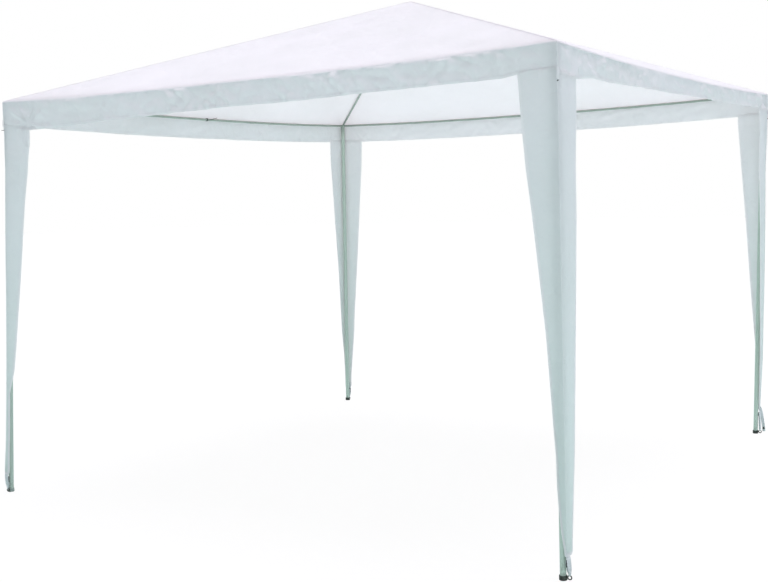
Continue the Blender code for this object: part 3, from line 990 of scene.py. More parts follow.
def valance_rows(shape, rim, places):
    """Rows of vertices from the rim round the turn and down to the hem."""
    rows = [rim]
    for angle in ROUND_ANGLES:
        out = eave - EDGE_ROUND * (1 - math.sin(math.radians(angle)))
        fall = EDGE_ROUND * (1 - math.cos(math.radians(angle)))
        row = []
        for side, along in places:
            wider = along * out / (eave - EDGE_ROUND)
            row.append(shape.verts.new(on_side(side, wider, out, eave_height(side, along) - fall)))
        rows.append(row)
    hem_share = HEM_WIDTH / valance_depth
    above_hem = 1 - hem_share - FIRST_ROW
    shares = [FIRST_ROW + above_hem * i / VALANCE_ROWS for i in range(VALANCE_ROWS + 1)]
    shares += [1 - hem_share + HEM_ROW, 1 - hem_share / 2, 1.0]
    for share in shares:
        proud = HEM_PROUD if share > 1 - hem_share else 0.0
        row = []
        for side, along in places:
            wider = along * (eave + proud) / (eave - EDGE_ROUND)
            row.append(shape.verts.new(valance_point(side, wider, share, eave + proud)))
        rows.append(row)
    for above, below in zip(rows, rows[1:]):
        for i in range(len(above)):
            after = (i + 1) % len(above)
            shape.faces.new((above[i], below[i], below[after], above[after]))
    return rows, shares

# %% [markdown]
# A sheet is drawn first without a thickness, and then a Solidify modifier gives it one. It also keeps its
# flat cut, as a UV map in metres: where each point lay before the sheet was sewn. The weave and the
# stitches follow that map. Cuts other than the roof's lie far off on it, so that no hip seam crosses them.

# %% Sheets with a thickness and a flat cut
NO_HEM = 1.0
OFF_THE_ROOF = 20
SHARP_ON_SHEET = 48


def mesh_object(name, shape):
    """Makes a mesh object from a shape, and puts it in the scene."""
    mesh = bpy.data.meshes.new(name)
    shape.to_mesh(mesh)
    shape.free()
    made = bpy.data.objects.new(name, mesh)
    bpy.context.scene.collection.objects.link(made)
    return made


def apply_modifiers(piece):
    """Replaces a piece's mesh by what its modifiers make of it."""
    graph = bpy.context.evaluated_depsgraph_get()
    piece.data = bpy.data.meshes.new_from_object(piece.evaluated_get(graph))
    piece.modifiers.clear()


def closed_sheet(name, shape, thickness):
    """Makes a mesh object from an open sheet and gives it its thickness, inwards."""
    thin = mesh_object(name, shape)
    solidify = thin.modifiers.new("Thickness", "SOLIDIFY")
    solidify.thickness = thickness
    solidify.offset = -1
    apply_modifiers(thin)
    smooth(thin, SHARP_ON_SHEET)
    return thin


def new_sheet():
    """An empty shape with layers for its hem, and a UV map for the flat cut."""
    shape = bmesh.new()
    layers = shape.verts.layers.float
    layers.new("from_edge")
    layers.new("hem")
    cut = shape.loops.layers.uv.new("cut")
    return shape, layers["from_edge"], layers["hem"], cut


def write_cut(shape, cut, flat_place):
    """Writes where each vertex lies on the flat cut, in metres, as a UV map."""
    for face in shape.faces:
        for loop in face.loops:
            loop[cut].uv = flat_place[loop.vert]

# %% [markdown]
# Now the canopy can be built. A hem is two layers of sheet, so less light comes through, but it catches
# more from outside. The hem is painted lighter, partly for the doubled sheet and partly as a painted
# highlight: a table says how much lighter it is on each side, by how the light falls there.

# %% Build the canopy
# Painted light: these shares follow how the light falls on each side, on top of the doubled sheet.
HEM_PAINTED_LIGHT = {"front": 0.1, "right": 0.7, "back": 0.4, "left": 0.4}
CORNER_HEM_PAINTED_LIGHT = 0.5
CORNER_HEM_FROM = 1.3
ROUND_STEP = 0.005


def hem_painted_light(side, along):
    """How much lighter the hem is painted than the sheet beside it: doubled sheet and painted highlight."""
    at_corner = side == "front" and along > CORNER_HEM_FROM
    return CORNER_HEM_PAINTED_LIGHT if at_corner else HEM_PAINTED_LIGHT[side]


def build_canopy():
    shape, from_edge, hem, cut = new_sheet()
    places = rim_places()
    grid = roof_points(shape)
    rim = rim_from_grid(shape, grid, places)
    roof_cells(shape, grid, rim)
    rows, shares = valance_rows(shape, rim, places)
    flat_place = {}
    for vertex in shape.verts:
        flat_place[vertex] = (vertex.co.x - middle.x, vertex.co.y - middle.y)
        vertex[from_edge] = NO_HEM
    first_share = 1 + len(ROUND_ANGLES)
    for number, row in enumerate(rows[1:], start=1):
        below_turn = number >= first_share
        drop = shares[number - first_share] * valance_depth if below_turn else ROUND_STEP * number
        for (side, along), vertex in zip(places, row):
            flat_place[vertex] = (OFF_THE_ROOF + round_the_eaves(side, along), -drop)
            vertex[from_edge] = valance_depth - drop
            vertex[hem] = hem_painted_light(side, along)
    write_cut(shape, cut, flat_place)
    return closed_sheet("canopy", shape, SHEET_THICKNESS)


canopy = build_canopy()

print("The canopy has", len(canopy.data.polygons), "faces")

# %% [markdown]
# The canopy stands for the frame's flat roof panels and valances, so those are hidden, and it takes the
# sheet's finish. Its cut is four triangles that meet at the peak, and four strips.

dress(canopy, "white_sheet")
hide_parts(*[f"roof_panel_{side}" for side in SIDES], *[f"valance_{side}" for side in SIDES])
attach(canopy, "root")
tubes = [f"rail_{side}_{hand}_half" for side in SIDES for hand in ("left", "right")]
tubes += [f"rafter_{corner}" for corner in CORNERS]

# %% [markdown]
# Each leg has a cover: a long piece of the same sheet that is folded round the outside of the corner and
# tapers towards the foot. How wide each half looks was read from a photograph at several heights, and so
# was how far the outer fold sways on two of the corners. The other halves get the plain taper.

# %% The taper and the fold of the leg covers
PLAIN_TAPER = ((0.10, 0.033), (1.895, 0.168))
COVER_WIDTHS = {
    ("front_right", "x"): ((0.10, 0.010), (0.17, 0.023), (0.23, 0.029), (0.34, 0.036), (0.45, 0.038),
                           (0.60, 0.049), (0.91, 0.069), (1.37, 0.116), (1.52, 0.134), (1.895, 0.166)),
    ("front_right", "y"): ((0.11, 0.057), (0.27, 0.072), (0.43, 0.089), (0.90, 0.124), (1.36, 0.157),
                           (1.67, 0.168), (1.895, 0.178)),
    ("front_left", "x"): ((0.12, 0.036), (0.23, 0.031), (0.50, 0.028), (0.56, 0.042), (0.62, 0.060),
                          (1.05, 0.105), (1.21, 0.123), (1.51, 0.148), (1.81, 0.185)),
    ("front_left", "y"): ((0.12, 0.022), (0.50, 0.022), (0.60, 0.042), (1.05, 0.080), (1.21, 0.094),
                          (1.51, 0.114), (1.81, 0.148)),
    ("back_left", "y"): ((0.16, 0.018), (0.32, 0.027), (0.48, 0.049), (0.94, 0.080), (1.25, 0.108),
                         (1.56, 0.137), (1.71, 0.155), (1.86, 0.163)),
    ("back_left", "x"): ((0.16, 0.043), (0.32, 0.059), (0.47, 0.074), (0.63, 0.083), (1.09, 0.120),
                         (1.40, 0.142), (1.70, 0.163), (1.85, 0.169)),
    ("back_right", "x"): ((0.13, 0.022), (0.37, 0.030), (0.60, 0.055), (0.91, 0.086), (1.38, 0.124),
                          (1.53, 0.136), (1.69, 0.155), (1.84, 0.173)),
    ("back_right", "y"): ((0.14, 0.024), (0.30, 0.040), (0.61, 0.070), (0.76, 0.088), (1.20, 0.110),
                          (1.89, 0.168)),
}
CREASE_SHIFTS = {
    "front_left": ((0.14, 0.014), (0.27, 0.021), (0.51, 0.024), (0.74, 0.024), (1.05, 0.021),
                   (1.21, 0.017), (1.51, 0.014), (1.66, 0.014), (1.89, 0.0)),
    "back_right": ((0.16, -0.002), (0.44, 0.006), (0.91, 0.005), (1.22, 0.002), (1.53, -0.004),
                   (1.89, 0.0)),
}
HEM_LIFTS = {"back_right": 0.045}


def cover_taper(corner, axis, height):
    """The width of a cover's half at this height. The x half lies along X, the y half along Y."""
    return from_table(COVER_WIDTHS.get((corner, axis), PLAIN_TAPER), height)


def half_directions(corner, axis):
    """Directions along and out of one half of a cover, starting from its crease."""
    x, y = CORNERS[corner]
    if axis == "x":
        return Vector((-x, 0, 0)), Vector((0, y, 0))
    return Vector((0, -y, 0)), Vector((x, 0, 0))


def side_of(corner, axis):
    """The pavilion's side that this half of the cover hangs on."""
    x, y = CORNERS[corner]
    if axis == "x":
        return "front" if y < 0 else "back"
    return "right" if x > 0 else "left"


def crease_ends(corner):
    """The upper and lower end of the outer fold, from the frame's own plain panels."""
    x, y = CORNERS[corner]
    diagonal = Vector((x, y, 0))
    panel = frame["nodes"][f"leg_cover_{corner}_left"].data
    lowest = min(vertex.co.z for vertex in panel.vertices)
    at_hem = [vertex.co for vertex in panel.vertices if vertex.co.z < lowest + 0.001]
    low = max(at_hem, key=lambda point: point.dot(diagonal)).copy()
    top = Vector((middle.x + x * eave, middle.y + y * eave, valance_high.z - valance_depth))
    return low, top


CREASES = {corner: crease_ends(corner) for corner in CORNERS}


def crease_at(corner, share):
    """A point of the outer fold, from 0 at the hem to 1 at the valance."""
    low, top = CREASES[corner]
    lift = HEM_LIFTS.get(corner, 0.0) / (top.z - low.z)
    point = low.lerp(top, lift + (1 - lift) * share)
    if corner in CREASE_SHIFTS:
        point.x += from_table(CREASE_SHIFTS[corner], point.z)
    return point


print("The covers' folds end", round(crease_at("front_right", 1.0).z, 3), "m above the ground")

# %% [markdown]
# The section of a cover could be drawn as an L, but cloth bends rather than folds. So the section is walked
# from the crease outwards in small steps, and at each step its heading turns a little: inwards near the
# free edge, where it curls round the leg, and to and fro where folds hang. The steps are then scaled, so
# that the half reaches its width.

# %% The section of a leg cover
EDGE_CURLS = {("front_right", "y"): 10, ("front_right", "x"): 30, ("front_left", "x"): 15,
              ("front_left", "y"): 10}
EDGE_CURL = 25
COVER_COLUMNS = 22
FOLD_TURN = math.radians(20)
FOLD_WIDTH = 0.055
FOLD_LENGTH = 1.1
SMALL_FOLD_WIDTH = 0.022
SMALL_FOLD_LENGTH = 0.50
PACKED_TURN = math.radians(2.5)
HELD_FROM = 1.86
CURL_FROM = 1.75
EDGE_LEAN = 0.2


def fold_heading(corner, axis, share, width, height):
    """How far the section has turned inwards, at this share of its way from the crease to the edge."""
    layer = 30 + list(CORNERS).index(corner) * 2 + (axis == "y")
    across = share * width
    hang = ramp(HELD_FROM - height, 0.0, 0.35)
    edge_curl = math.radians(EDGE_CURLS.get((corner, axis), EDGE_CURL))
    curl = edge_curl * ramp(CURL_FROM - height, 0.0, 1.2) * ramp(share, 0.45, 1.0)
    wander = hills(across / FOLD_WIDTH, height / FOLD_LENGTH, layer)
    small = hills(across / SMALL_FOLD_WIDTH, height / SMALL_FOLD_LENGTH, layer + 0.5) * 0.35
    packed = PACKED_TURN * hills(across / 0.05 + height * 5, height / 0.09, layer + 0.7)
    return hang * (curl + FOLD_TURN * (wander + small)) + packed * ramp(HELD_FROM - height, 0.0, 0.1)


def cover_section(corner, axis, height):
    """Points of one half of the section, from the crease to the free edge, relative to the crease."""
    along, outward = half_directions(corner, axis)
    width = cover_taper(corner, axis, height)
    shares = [(i + 0.5) / COVER_COLUMNS for i in range(COVER_COLUMNS)]
    headings = [fold_heading(corner, axis, share, width, height) for share in shares]
    step = width / sum(math.cos(heading) for heading in headings)
    point = Vector((0, 0, 0))
    points = []
    for heading in headings:
        point = point + along * math.cos(heading) * step - outward * math.sin(heading) * step
        points.append(point.copy())
    lean = points[-1].dot(outward) * (1 - EDGE_LEAN)
    return [point - outward * lean * (i + 1) / COVER_COLUMNS for i, point in enumerate(points)]


print("Half a section has", len(cover_section("front_right", "y", 1.0)), "points")

# %% [markdown]
# A cover lies on its leg without cutting into it. The leg's middle line is known from the frame, so each
# point that comes too close is moved outwards until it lies on the tube. A physics engine could find the
# same contact, but here one square root does.

# %% Keep the covers clear of the legs
LEG_ROOM = 0.0135
LEG_GAP = 0.0005


def leg_line(corner):
    """The upper and lower end of the leg's middle line, from the corner and the box of its foot."""
    x, y = CORNERS[corner]
    foot = middle_of(f"foot_{corner}")
    return Vector((middle.x + x * half, middle.y + y * half, valance_high.z)), Vector((foot.x, foot.y, 0))


LEG_LINES = {corner: leg_line(corner) for corner in CORNERS}


def clear_of_leg(corner, axis, point):
    """How far this point has to move outwards so that the sheet lies on the leg and doesn't cross it."""
    along, outward = half_directions(corner, axis)
    top, foot = LEG_LINES[corner]
    share = (top.z - point.z) / (top.z - foot.z)
    leg = top.lerp(foot, share)
    beside = (point - leg).dot(along)
    if abs(beside) > LEG_ROOM:
        return 0.0
    room = math.sqrt(LEG_ROOM**2 - beside**2) + SHEET_THICKNESS + LEG_GAP
    return max(room - (point - leg).dot(outward), 0)


for corner, (leg_top, leg_foot) in LEG_LINES.items():
    print("The leg at", corner, "is", round((leg_top - leg_foot).length, 3), "m long")

# %% [markdown]
# A cover is now built row by row, from the hem to the valance. Its upper edge is tucked behind the
# valance's lower edge, where it is sewn on, and its lower edge is level with a rounded end.

# %% Build the leg covers
COVER_HEM = 0.095
HEM_CORNER = 0.020
COVER_ROWS = 150
TUCK = 0.012
TUCK_DEPTH = 0.0022


def hem_of(corner):
    """The height of a cover's hem: one of the four is drawn up a little."""
    return COVER_HEM + HEM_LIFTS.get(corner, 0.0)


def cover_bottom(corner, across, width):
    """The height of the lower edge: level, with a rounded end."""
    rounding = min(HEM_CORNER, 0.8 * width)
    past = max(across - (width - rounding), 0)
    return hem_of(corner) + rounding - math.sqrt(max(rounding**2 - past**2, 0))


def cover_top(corner, axis, across):
    """The point behind the valance's lower edge that the cover is sewn to."""
    side = side_of(corner, axis)
    outward = half_directions(corner, axis)[1]
    x, y = CORNERS[corner]
    start = {"front": x, "back": -x, "right": y, "left": -y}[side] * eave
    place = start - math.copysign(across, start)
    sewn = valance_point(side, place, 1.0)
    return sewn - outward * TUCK_DEPTH + Vector((0, 0, TUCK))


def cover_row(corner, share):
    """One row of a cover: each point, its place across the cut, and its distance from the nearest edge."""
    fold = crease_at(corner, share)
    row = []
    for axis, direction in (("x", -1), ("y", 1)):
        width = cover_taper(corner, axis, fold.z)
        outward = half_directions(corner, axis)[1]
        points = [Vector((0, 0, 0))] + cover_section(corner, axis, fold.z)
        half_row = []
        for i, offset in enumerate(points):
            across = width * i / COVER_COLUMNS
            sewn = cover_top(corner, axis, across)
            bottom = cover_bottom(corner, across, width)
            point = fold + offset
            point.z = bottom + (sewn.z - bottom) * share
            point += outward * (sewn - point).dot(outward) * ramp(share, 0.90, 1.0)
            point += outward * clear_of_leg(corner, axis, point)
            half_row.append((point, across * direction, min(width - across, point.z - bottom)))
        row.append(half_row)
    x_half, y_half = row
    crease = ((x_half[0][0] + y_half[0][0]) / 2, 0.0, x_half[0][2])
    return list(reversed(x_half[1:])) + [crease] + y_half[1:]


def build_cover(corner):
    """One leg cover: columns across the fold, rows from the hem to the valance."""
    shape, from_edge, hem, cut = new_sheet()
    flat_place = {}
    rows = []
    for j in range(COVER_ROWS + 1):
        share = j / COVER_ROWS
        made = []
        for point, across, inside in cover_row(corner, share):
            vertex = shape.verts.new(point)
            vertex[from_edge] = inside
            # On a cover the hem is painted lighter in full: doubled sheet and painted highlight.
            vertex[hem] = 1.0
            flat_place[vertex] = (across, OFF_THE_ROOF + point.z)
            made.append(vertex)
        rows.append(made)
    for below, above in zip(rows, rows[1:]):
        for i in range(len(below) - 1):
            shape.faces.new((below[i], below[i + 1], above[i + 1], above[i]))
    bmesh.ops.recalc_face_normals(shape, faces=shape.faces[:])
    middle_face = shape.faces[len(shape.faces) // 2]
    x, y = CORNERS[corner]
    if middle_face.normal.dot(Vector((x, y, 0))) < 0:
        bmesh.ops.reverse_faces(shape, faces=shape.faces[:])
    write_cut(shape, cut, flat_place)
    return closed_sheet(f"leg_cover_{corner}", shape, SHEET_THICKNESS)


covers = {corner: build_cover(corner) for corner in CORNERS}

for corner, cover in covers.items():
    print(cover.name, len(cover.data.polygons), "faces")

# %% [markdown]
# A cover is cut as one long taper, about 34 cm wide at the top and 7 cm at the hem, and 1.8 m long.
# It stands for the two plain panels of its corner, and hangs from the canopy.

for corner, cover in covers.items():
    dress(cover, "white_sheet")
    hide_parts(f"leg_cover_{corner}_left", f"leg_cover_{corner}_right")
    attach(cover, "root")
print("Hung", len(covers), "covers")

# %% [markdown]
# Each cover is held down at one corner of its hem. A woven tape is sewn behind the hem and runs down to a
# black ring beside the foot. There it turns round the ring, comes up, and is clamped in a buckle with
# three bars. A strip with a rectangular section could be bent by hand, but its way is easier to state as
# a list: its height, how far it lies in front of or behind its middle, and its width. A smooth curve runs
# through these points. The tape hangs in front of the buckle, so little of the black shows.

# %% Helpers for tape
TAPE_THICKNESS = 0.0012
TAPE_ROUNDING = 0.3
SHARP_ON_TAPE = 40
CURVE_STEPS = 6


def smooth_way(stops, steps=CURVE_STEPS):
    """Points on a smooth curve through all stops, each a list of numbers."""
    stops = [np.array(stop, float) for stop in stops]
    ends = [2 * stops[0] - stops[1]] + stops + [2 * stops[-1] - stops[-2]]
    way = []
    for before, here, after, last in zip(ends, ends[1:], ends[2:], ends[3:]):
        bend = 2 * before - 5 * here + 4 * after - last
        twist = 3 * here - before - 3 * after + last
        for step in range(steps):
            share = step / steps
            way.append(0.5 * (2 * here + (after - before) * share + bend * share**2 + twist * share**3))
    way.append(stops[-1])
    return way


def way_length(points):
    return sum((second - first).length for first, second in zip(points, points[1:]))


def build_tape(name, points, across, widths, thickness=TAPE_THICKNESS):
    """A closed strip of tape along points. Each point has its direction across and its width."""
    shape, from_edge, _, cut = new_sheet()
    rounding = thickness * TAPE_ROUNDING
    flat_place = {}
    rings = []
    run = 0.0
    for i, point in enumerate(points):
        ahead = points[min(i + 1, len(points) - 1)] - points[max(i - 1, 0)]
        sideways = (across[i] - ahead * (across[i].dot(ahead) / ahead.length_squared)).normalized()
        front = sideways.cross(ahead).normalized()
        run += (point - points[i - 1]).length if i else 0.0
        edge = widths[i] / 2
        face = thickness / 2
        flat = edge - rounding
        rounded = face - rounding
        section = [(edge, rounded), (flat, face), (0, face), (-flat, face), (-edge, rounded),
                   (-edge, -rounded), (-flat, -face), (0, -face), (flat, -face), (edge, -rounded)]
        ring = []
        for beside, proud in section:
            vertex = shape.verts.new(point + sideways * beside + front * proud)
            vertex[from_edge] = NO_HEM
            flat_place[vertex] = (beside, 2 * OFF_THE_ROOF + run)
            ring.append(vertex)
        rings.append(ring)
    for first, second in zip(rings, rings[1:]):
        for i in range(len(first)):
            after = (i + 1) % len(first)
            shape.faces.new((first[i], first[after], second[after], second[i]))
    shape.faces.new(rings[0][::-1])
    shape.faces.new(rings[-1])
    bmesh.ops.recalc_face_normals(shape, faces=shape.faces[:])
    write_cut(shape, cut, flat_place)
    tape = mesh_object(name, shape)
    smooth(tape, SHARP_ON_TAPE)
    return tape


# %% [markdown]
# All rings stand one way, so on two corners the tape makes a quarter turn on its way. Most of it comes just
# above the ring. A small first part comes above the buckle, and keeps tape and buckle clear of the leg.
# Where a hem is drawn up, the tape is drawn out above the ring, and the part at the ring stays as it is.

# %% The straps
STRAP_HANDS = {"front_right": "y", "front_left": "x", "back_left": "x", "back_right": "y"}
RING_TWISTS = {"x": 0.0, "y": -math.pi / 2}
FIRST_TURNS = {"front_right": 0.15, "back_right": 0.04, "front_left": 0.0, "back_left": 0.0}
FIRST_TURN_OVER = (0.108, 0.088)
LAST_TURN_OVER = (0.034, 0.020)
STRAP_FROM_CREASE = {"front_right": 0.012, "front_left": 0.011, "back_left": 0.022, "back_right": 0.010}
BEHIND_HEM = 0.0006
STRAP_WAY = (
    (0.128, -0.0005, 0.025), (0.108, 0.0000, 0.025), (0.098, 0.0004, 0.025), (0.086, 0.0026, 0.025),
    (0.070, 0.0030, 0.025), (0.055, 0.0030, 0.025), (0.042, 0.0031, 0.022), (0.0310, 0.0033, 0.013),
    (0.0225, 0.0033, 0.009), (0.0184, 0.0022, 0.008), (0.0168, 0.0, 0.008), (0.0184, -0.0022, 0.008),
    (0.0222, -0.0033, 0.008), (0.031, -0.0033, 0.012), (0.043, -0.0030, 0.0205), (0.056, -0.0027, 0.0205),
    (0.0610, -0.0006, 0.0205), (0.0665, 0.0013, 0.0205), (0.0720, 0.0013, 0.0205),
    (0.0770, -0.0006, 0.0205), (0.0790, -0.0028, 0.022), (0.073, -0.0043, 0.025), (0.060, -0.0045, 0.025),
)
STRETCH_FROM = 0.031
STRETCH_TO = 0.045


def hem_place(corner):
    """Where the tape's middle line leaves the hem, with its directions across and out."""
    axis = STRAP_HANDS[corner]
    along, outward = half_directions(corner, axis)
    edge = crease_at(corner, 0.0)
    inside = TAPE_THICKNESS / 2 + SHEET_THICKNESS + BEHIND_HEM
    return edge + along * STRAP_FROM_CREASE[corner] - outward * inside, along, outward


def lifted(corner, height):
    """A height on the strap, drawn up with the hem. The part at the ring stays where it is."""
    return height + HEM_LIFTS.get(corner, 0.0) * ramp(height, STRETCH_FROM, STRETCH_TO)


def strap_line(corner, height):
    """The point at this height on a straight line from the hem to the ring."""
    ring_low, ring_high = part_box(f"strap_ring_{corner}")
    share = min(max((hem_of(corner) - height) / (hem_of(corner) - ring_high.z), 0), 1)
    point = hem_place(corner)[0].lerp((ring_low + ring_high) / 2, share)
    return Vector((point.x, point.y, height))


def strap_directions(corner, share_turned):
    """Directions across and out of the tape, after this share of its turn towards the ring."""
    along, outward = hem_place(corner)[1:]
    turned = Matrix.Rotation(RING_TWISTS[STRAP_HANDS[corner]] * share_turned, 3, "Z")
    return turned @ along, turned @ outward


def build_strap(corner):
    """The tape from behind the hem, round the ring's upper arc, and back through the buckle."""
    first = FIRST_TURNS[corner]
    points = []
    across = []
    widths = []
    for height, forward, width in smooth_way(STRAP_WAY):
        share_turned = first * ramp(height, *FIRST_TURN_OVER)
        share_turned += (1 - first) * ramp(height, *LAST_TURN_OVER)
        along, outward = strap_directions(corner, share_turned)
        points.append(strap_line(corner, lifted(corner, height)) + outward * forward)
        across.append(along)
        widths.append(width)
    return build_tape(f"strap_{corner}", points, across, widths), way_length(points)

# %% [markdown]
# The buckle is a flat plate with two slots, so three bars are left. A plate with holes could be cut with
# Boolean modifiers. A grid of its edge lines is simpler: the cells that lie on a slot are left out, the
# rest is given a thickness, and a bevel rounds all edges as moulding does.

# %% The buckles
BUCKLE_HEIGHT = 0.070
BUCKLE_BEHIND = 0.0006
BUCKLE_ACROSS = (-0.0132, -0.0105, 0.0105, 0.0132)
BUCKLE_UP = (-0.015, -0.0115, -0.0025, 0.0015, 0.0115, 0.015)
BUCKLE_THICKNESS = 0.0022
BUCKLE_ROUNDING = 0.0007
SLOTS = ((1, 1), (1, 3))


def build_buckle(corner):
    """A plate with three bars, across the tape."""
    along, outward = strap_directions(corner, FIRST_TURNS[corner])
    centre = strap_line(corner, lifted(corner, BUCKLE_HEIGHT)) - outward * BUCKLE_BEHIND
    shape = bmesh.new()
    grid = [
        [shape.verts.new(centre + along * across + Vector((0, 0, up)) + outward * BUCKLE_THICKNESS / 2)
         for across in BUCKLE_ACROSS] for up in BUCKLE_UP
    ]
    for j in range(len(BUCKLE_UP) - 1):
        for i in range(len(BUCKLE_ACROSS) - 1):
            if (i, j) not in SLOTS:
                shape.faces.new((grid[j][i], grid[j][i + 1], grid[j + 1][i + 1], grid[j + 1][i]))
    if along.cross(Vector((0, 0, 1))).dot(outward) < 0:
        bmesh.ops.reverse_faces(shape, faces=shape.faces[:])
    buckle = closed_sheet(f"strap_buckle_{corner}", shape, BUCKLE_THICKNESS)
    bevel = buckle.modifiers.new("Moulded edges", "BEVEL")
    bevel.width = BUCKLE_ROUNDING
    bevel.segments = 2
    apply_modifiers(buckle)
    return buckle


for corner in CORNERS:
    strap, length = build_strap(corner)
    buckle = build_buckle(corner)
    dress(strap, "white_tape")
    dress(buckle, "black_plastic")
    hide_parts(f"cover_strap_{corner}")
    for piece in (strap, buckle):
        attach(piece, "root")
    print(strap.name, "is cut", round(length, 3), "m long")

# %% [markdown]
# On the corner at the back right the end of the tape was never trimmed, so a tail of it, folded narrower,
# hangs out beside the buckle and is knotted near its end. The knot is modelled as a small lump round it.

# %% The long tail
TAIL_WIDTH = 0.017
TAIL_WAY = ((0.155, -0.002), (0.142, 0.003), (0.115, 0.009), (0.066, 0.016), (0.009, 0.022))
TAIL_ASIDE = 0.012
TAIL_TURN = (0.97, 0.25)
KNOT_SHARE = 0.90
KNOT_SIZES = (0.006, 0.006, 0.007)
KNOT_SWELL = 0.22
KNOT_SCALE = 1.7


def build_tail(corner):
    """A free end of tape that hangs outwards from the hem. Also returns where its knot sits."""
    start, along, outward = hem_place(corner)
    points = []
    for height, away in TAIL_WAY:
        aside = TAIL_ASIDE + away * 0.3
        points.append(Vector((start.x, start.y, height)) + outward * away - along * aside)
    points = [Vector(point) for point in smooth_way(points)]
    across = outward * TAIL_TURN[0] - along * TAIL_TURN[1]
    knot = points[round(KNOT_SHARE * (len(points) - 1))]
    tail = build_tape(f"strap_tail_{corner}", points, [across] * len(points), [TAIL_WIDTH] * len(points))
    return tail, way_length(points), knot


def lumpy_ball(name, centre, sizes):
    """A small knot or lump: an icosphere that is stretched and made uneven."""
    shape = bmesh.new()
    bmesh.ops.create_icosphere(shape, subdivisions=3, radius=1.0)
    for vertex in shape.verts:
        x, y, z = [KNOT_SCALE * place for place in vertex.co]
        swell = 1 + KNOT_SWELL * hills(x, y, z + 5)
        vertex.co = centre + Vector([place * size * swell for place, size in zip(vertex.co, sizes)])
    lump = mesh_object(name, shape)
    lump.data.shade_smooth()
    return lump


tail, tail_length, knot_place = build_tail("back_right")
knot = lumpy_ball("tail_knot_back_right", knot_place, KNOT_SIZES)
for piece, slot in ((tail, "white_tape"), (knot, "black_plastic")):
    dress(piece, slot)
    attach(piece, "root")
print("The tail is", round(tail_length, 3), "m long")

# %% [markdown]
# Below the valance each corner carries a small black peg that points outwards, and a loop of folded sheet
# above it. A guy rope can be hooked on there in wind. The peg is round, so its outline is listed once, as
# distances along its axis and radii, and spun round that axis.

# %% Pegs and loops on the corners
PEG_HEIGHT = 1.867
PEG_OUTLINE = ((0.0, 0.0), (0.0, 0.0024), (0.0008, 0.0028), (0.0016, 0.0025), (0.0028, 0.0016),
               (0.0040, 0.0011), (0.0085, 0.0010), (0.0097, 0.0015), (0.0112, 0.0015), (0.0120, 0.0010),
               (0.0120, 0.0))
PEG_STEPS = 20
SEWN_AT = 0.001
LOOP_WIDTH = 0.011
LOOP_WAY = ((1.872, 0.0010), (1.882, 0.0016), (1.894, 0.0034), (1.906, 0.0036), (1.918, 0.0016))


def spin_outline(name, centre, axis, outline, steps):
    """A closed shape turned round an axis. The outline gives distances along the axis and radii."""
    sideways = axis.orthogonal().normalized()
    other = axis.cross(sideways)
    shape = bmesh.new()
    rings = []
    for away, radius in outline:
        if radius == 0:
            rings.append([shape.verts.new(centre + axis * away)])
            continue
        angles = [2 * math.pi * i / steps for i in range(steps)]
        ways = [sideways * math.cos(angle) + other * math.sin(angle) for angle in angles]
        rings.append([shape.verts.new(centre + axis * away + way * radius) for way in ways])
    for first, second in zip(rings, rings[1:]):
        for i in range(steps):
            after = (i + 1) % steps
            corners = [first[i % len(first)], first[after % len(first)]]
            corners += [second[after % len(second)], second[i % len(second)]]
            shape.faces.new(list(dict.fromkeys(corners)))
    bmesh.ops.recalc_face_normals(shape, faces=shape.faces[:])
    turned = mesh_object(name, shape)
    smooth(turned, SHARP_ON_TAPE)
    return turned


for corner, (x, y) in CORNERS.items():
    diagonal = Vector((x, y, 0)).normalized()
    edge = crease_at(corner, 1.0)
    peg_at = Vector((edge.x, edge.y, PEG_HEIGHT)) - diagonal * SEWN_AT
    peg = spin_outline(f"corner_peg_{corner}", peg_at, diagonal, PEG_OUTLINE, PEG_STEPS)
    way = smooth_way(LOOP_WAY)
    points = [Vector((edge.x, edge.y, height)) + diagonal * (away + SEWN_AT) for height, away in way]
    across = [diagonal.cross(Vector((0, 0, 1)))] * len(points)
    loop = build_tape(f"corner_loop_{corner}", points, across, [LOOP_WIDTH] * len(points))
    for piece, slot in ((peg, "black_plastic"), (loop, "white_sheet")):
        dress(piece, slot)
        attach(piece, "root")
print("Each corner has a peg and a loop")

# %% [markdown]
# One thing is left over from a day of use: a band of string is tied round the middle of the left rail,
# with its end sticking up. It is wound here as one cord in three turns, because a plain ring would show
# no winding. The end is part of the same cord.

# %% The tie on the left rail
TIE_TURNS = 3
TIE_CORD = 0.0013
TIE_PITCH = 0.0030
TIE_START = 0.004
TIE_STEPS = 16
TIE_GAP = 0.0001
TIE_TAIL = ((0.010, 0.0, -0.004), (0.020, 0.012, 0.0), (0.032, 0.030, 0.006), (0.041, 0.048, 0.010))


def tie_way():
    """The cord's centre line: a winding round the rail, then its free end."""
    radius = rail_radius + TIE_CORD + TIE_GAP
    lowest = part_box("rail_left_left_half")[0].z + rail_radius
    points = []
    for step in range(TIE_TURNS * TIE_STEPS + 1):
        turn = step / TIE_STEPS
        place = TIE_START + turn * TIE_PITCH
        centre = Vector((middle.x - half, middle.y + place, lowest + (rail_bow - bow(place))))
        angle = 2 * math.pi * turn + math.pi / 2
        points.append(centre + Vector((math.cos(angle), 0, math.sin(angle))) * radius)
    end = points[-1] - Vector((math.cos(angle), 0, math.sin(angle))) * radius
    for inward, along, up in TIE_TAIL:
        points.append(end + Vector((inward, along, up)))
    return points


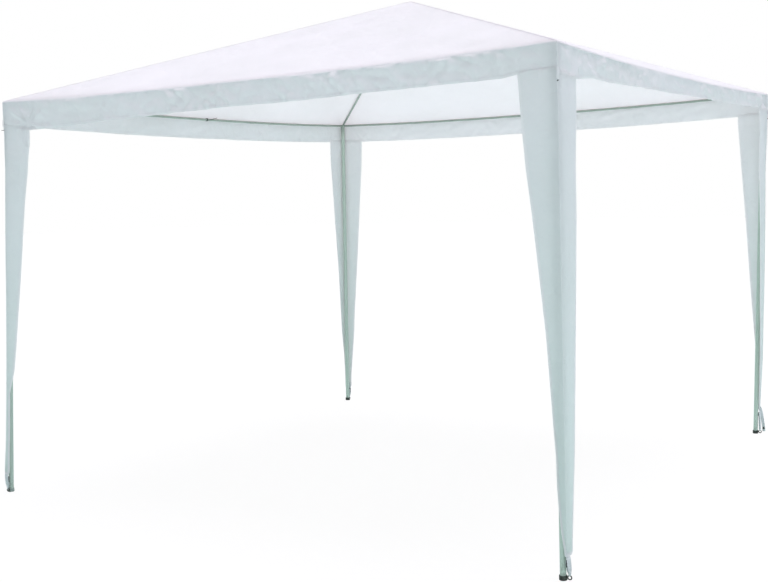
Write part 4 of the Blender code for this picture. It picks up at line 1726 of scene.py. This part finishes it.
def build_tie():
    line = bpy.data.curves.new("rail_tie", "CURVE")
    line.dimensions = "3D"
    line.bevel_depth = TIE_CORD
    line.bevel_resolution = 3
    line.use_fill_caps = True
    spline = line.splines.new("POLY")
    points = tie_way()
    spline.points.add(len(points) - 1)
    for target, point in zip(spline.points, points):
        target.co = (*point, 1)
    made = bpy.data.objects.new("rail_tie_left", line)
    bpy.context.scene.collection.objects.link(made)
    graph = bpy.context.evaluated_depsgraph_get()
    mesh = bpy.data.meshes.new_from_object(made.evaluated_get(graph))
    bpy.data.objects.remove(made)
    tie = bpy.data.objects.new("rail_tie_left", mesh)
    bpy.context.scene.collection.objects.link(tie)
    tie.data.shade_smooth()
    return tie, points


tie, tie_points = build_tie()
dress(tie, "black_plastic")
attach(tie, "root")
print("The tie has", TIE_TURNS, "turns and is", round(way_length(tie_points), 3), "m long")

# %% [markdown]
# The floor is a plain pale ground. It is there to catch a faint shadow under the feet and to throw light
# up under the roof. The camera should see it nearly white, but the light that a lawn throws back is a
# little green. So the floor has two faces: green for the light, and white for the camera. From below it
# lets the eye through, so that the underside can be looked at too.

# %% The floor
FLOOR_SIZE = 120
FLOOR_COLOUR = (0.635, 0.835, 0.77, 1)
FLOOR_SEEN = (1.0, 1.0, 1.0, 1)
FLOOR_GLOW = 0.93
FLOOR_DROP = 0.0005

bpy.ops.mesh.primitive_plane_add(size=FLOOR_SIZE, location=(0, 0, -FLOOR_DROP))
floor = bpy.context.object
floor.name = "floor"
ground = bpy.data.materials.new("pale_floor")
ground.use_nodes = True
ground_tree = ground.node_tree
ground_shader = ground_tree.nodes["Principled BSDF"]
ground_shader.inputs["Base Color"].default_value = FLOOR_COLOUR
ground_shader.inputs["Roughness"].default_value = 0.9
glowing = add_node(ground_tree, "Emission", {"Color": FLOOR_SEEN, "Strength": 1.0})
matt = add_node(ground_tree, "BsdfDiffuse", {"Color": FLOOR_SEEN})
seen = add_node(ground_tree, "MixShader", {0: FLOOR_GLOW, 1: matt.outputs[0], 2: glowing.outputs[0]})
eye = add_node(ground_tree, "LightPath", {}).outputs["Is Camera Ray"]
pale = add_node(ground_tree, "MixShader", {0: eye, 1: ground_shader.outputs[0], 2: seen.outputs[0]})
below = add_node(ground_tree, "NewGeometry", {}).outputs["Backfacing"]
clear = add_node(ground_tree, "BsdfTransparent", {})
either = add_node(ground_tree, "MixShader", {0: below, 1: pale.outputs[0], 2: clear.outputs[0]})
ground_tree.links.new(either.outputs[0], ground_tree.nodes["Material Output"].inputs["Surface"])
floor.data.materials.append(ground)
print("The floor is", FLOOR_SIZE, "m wide")
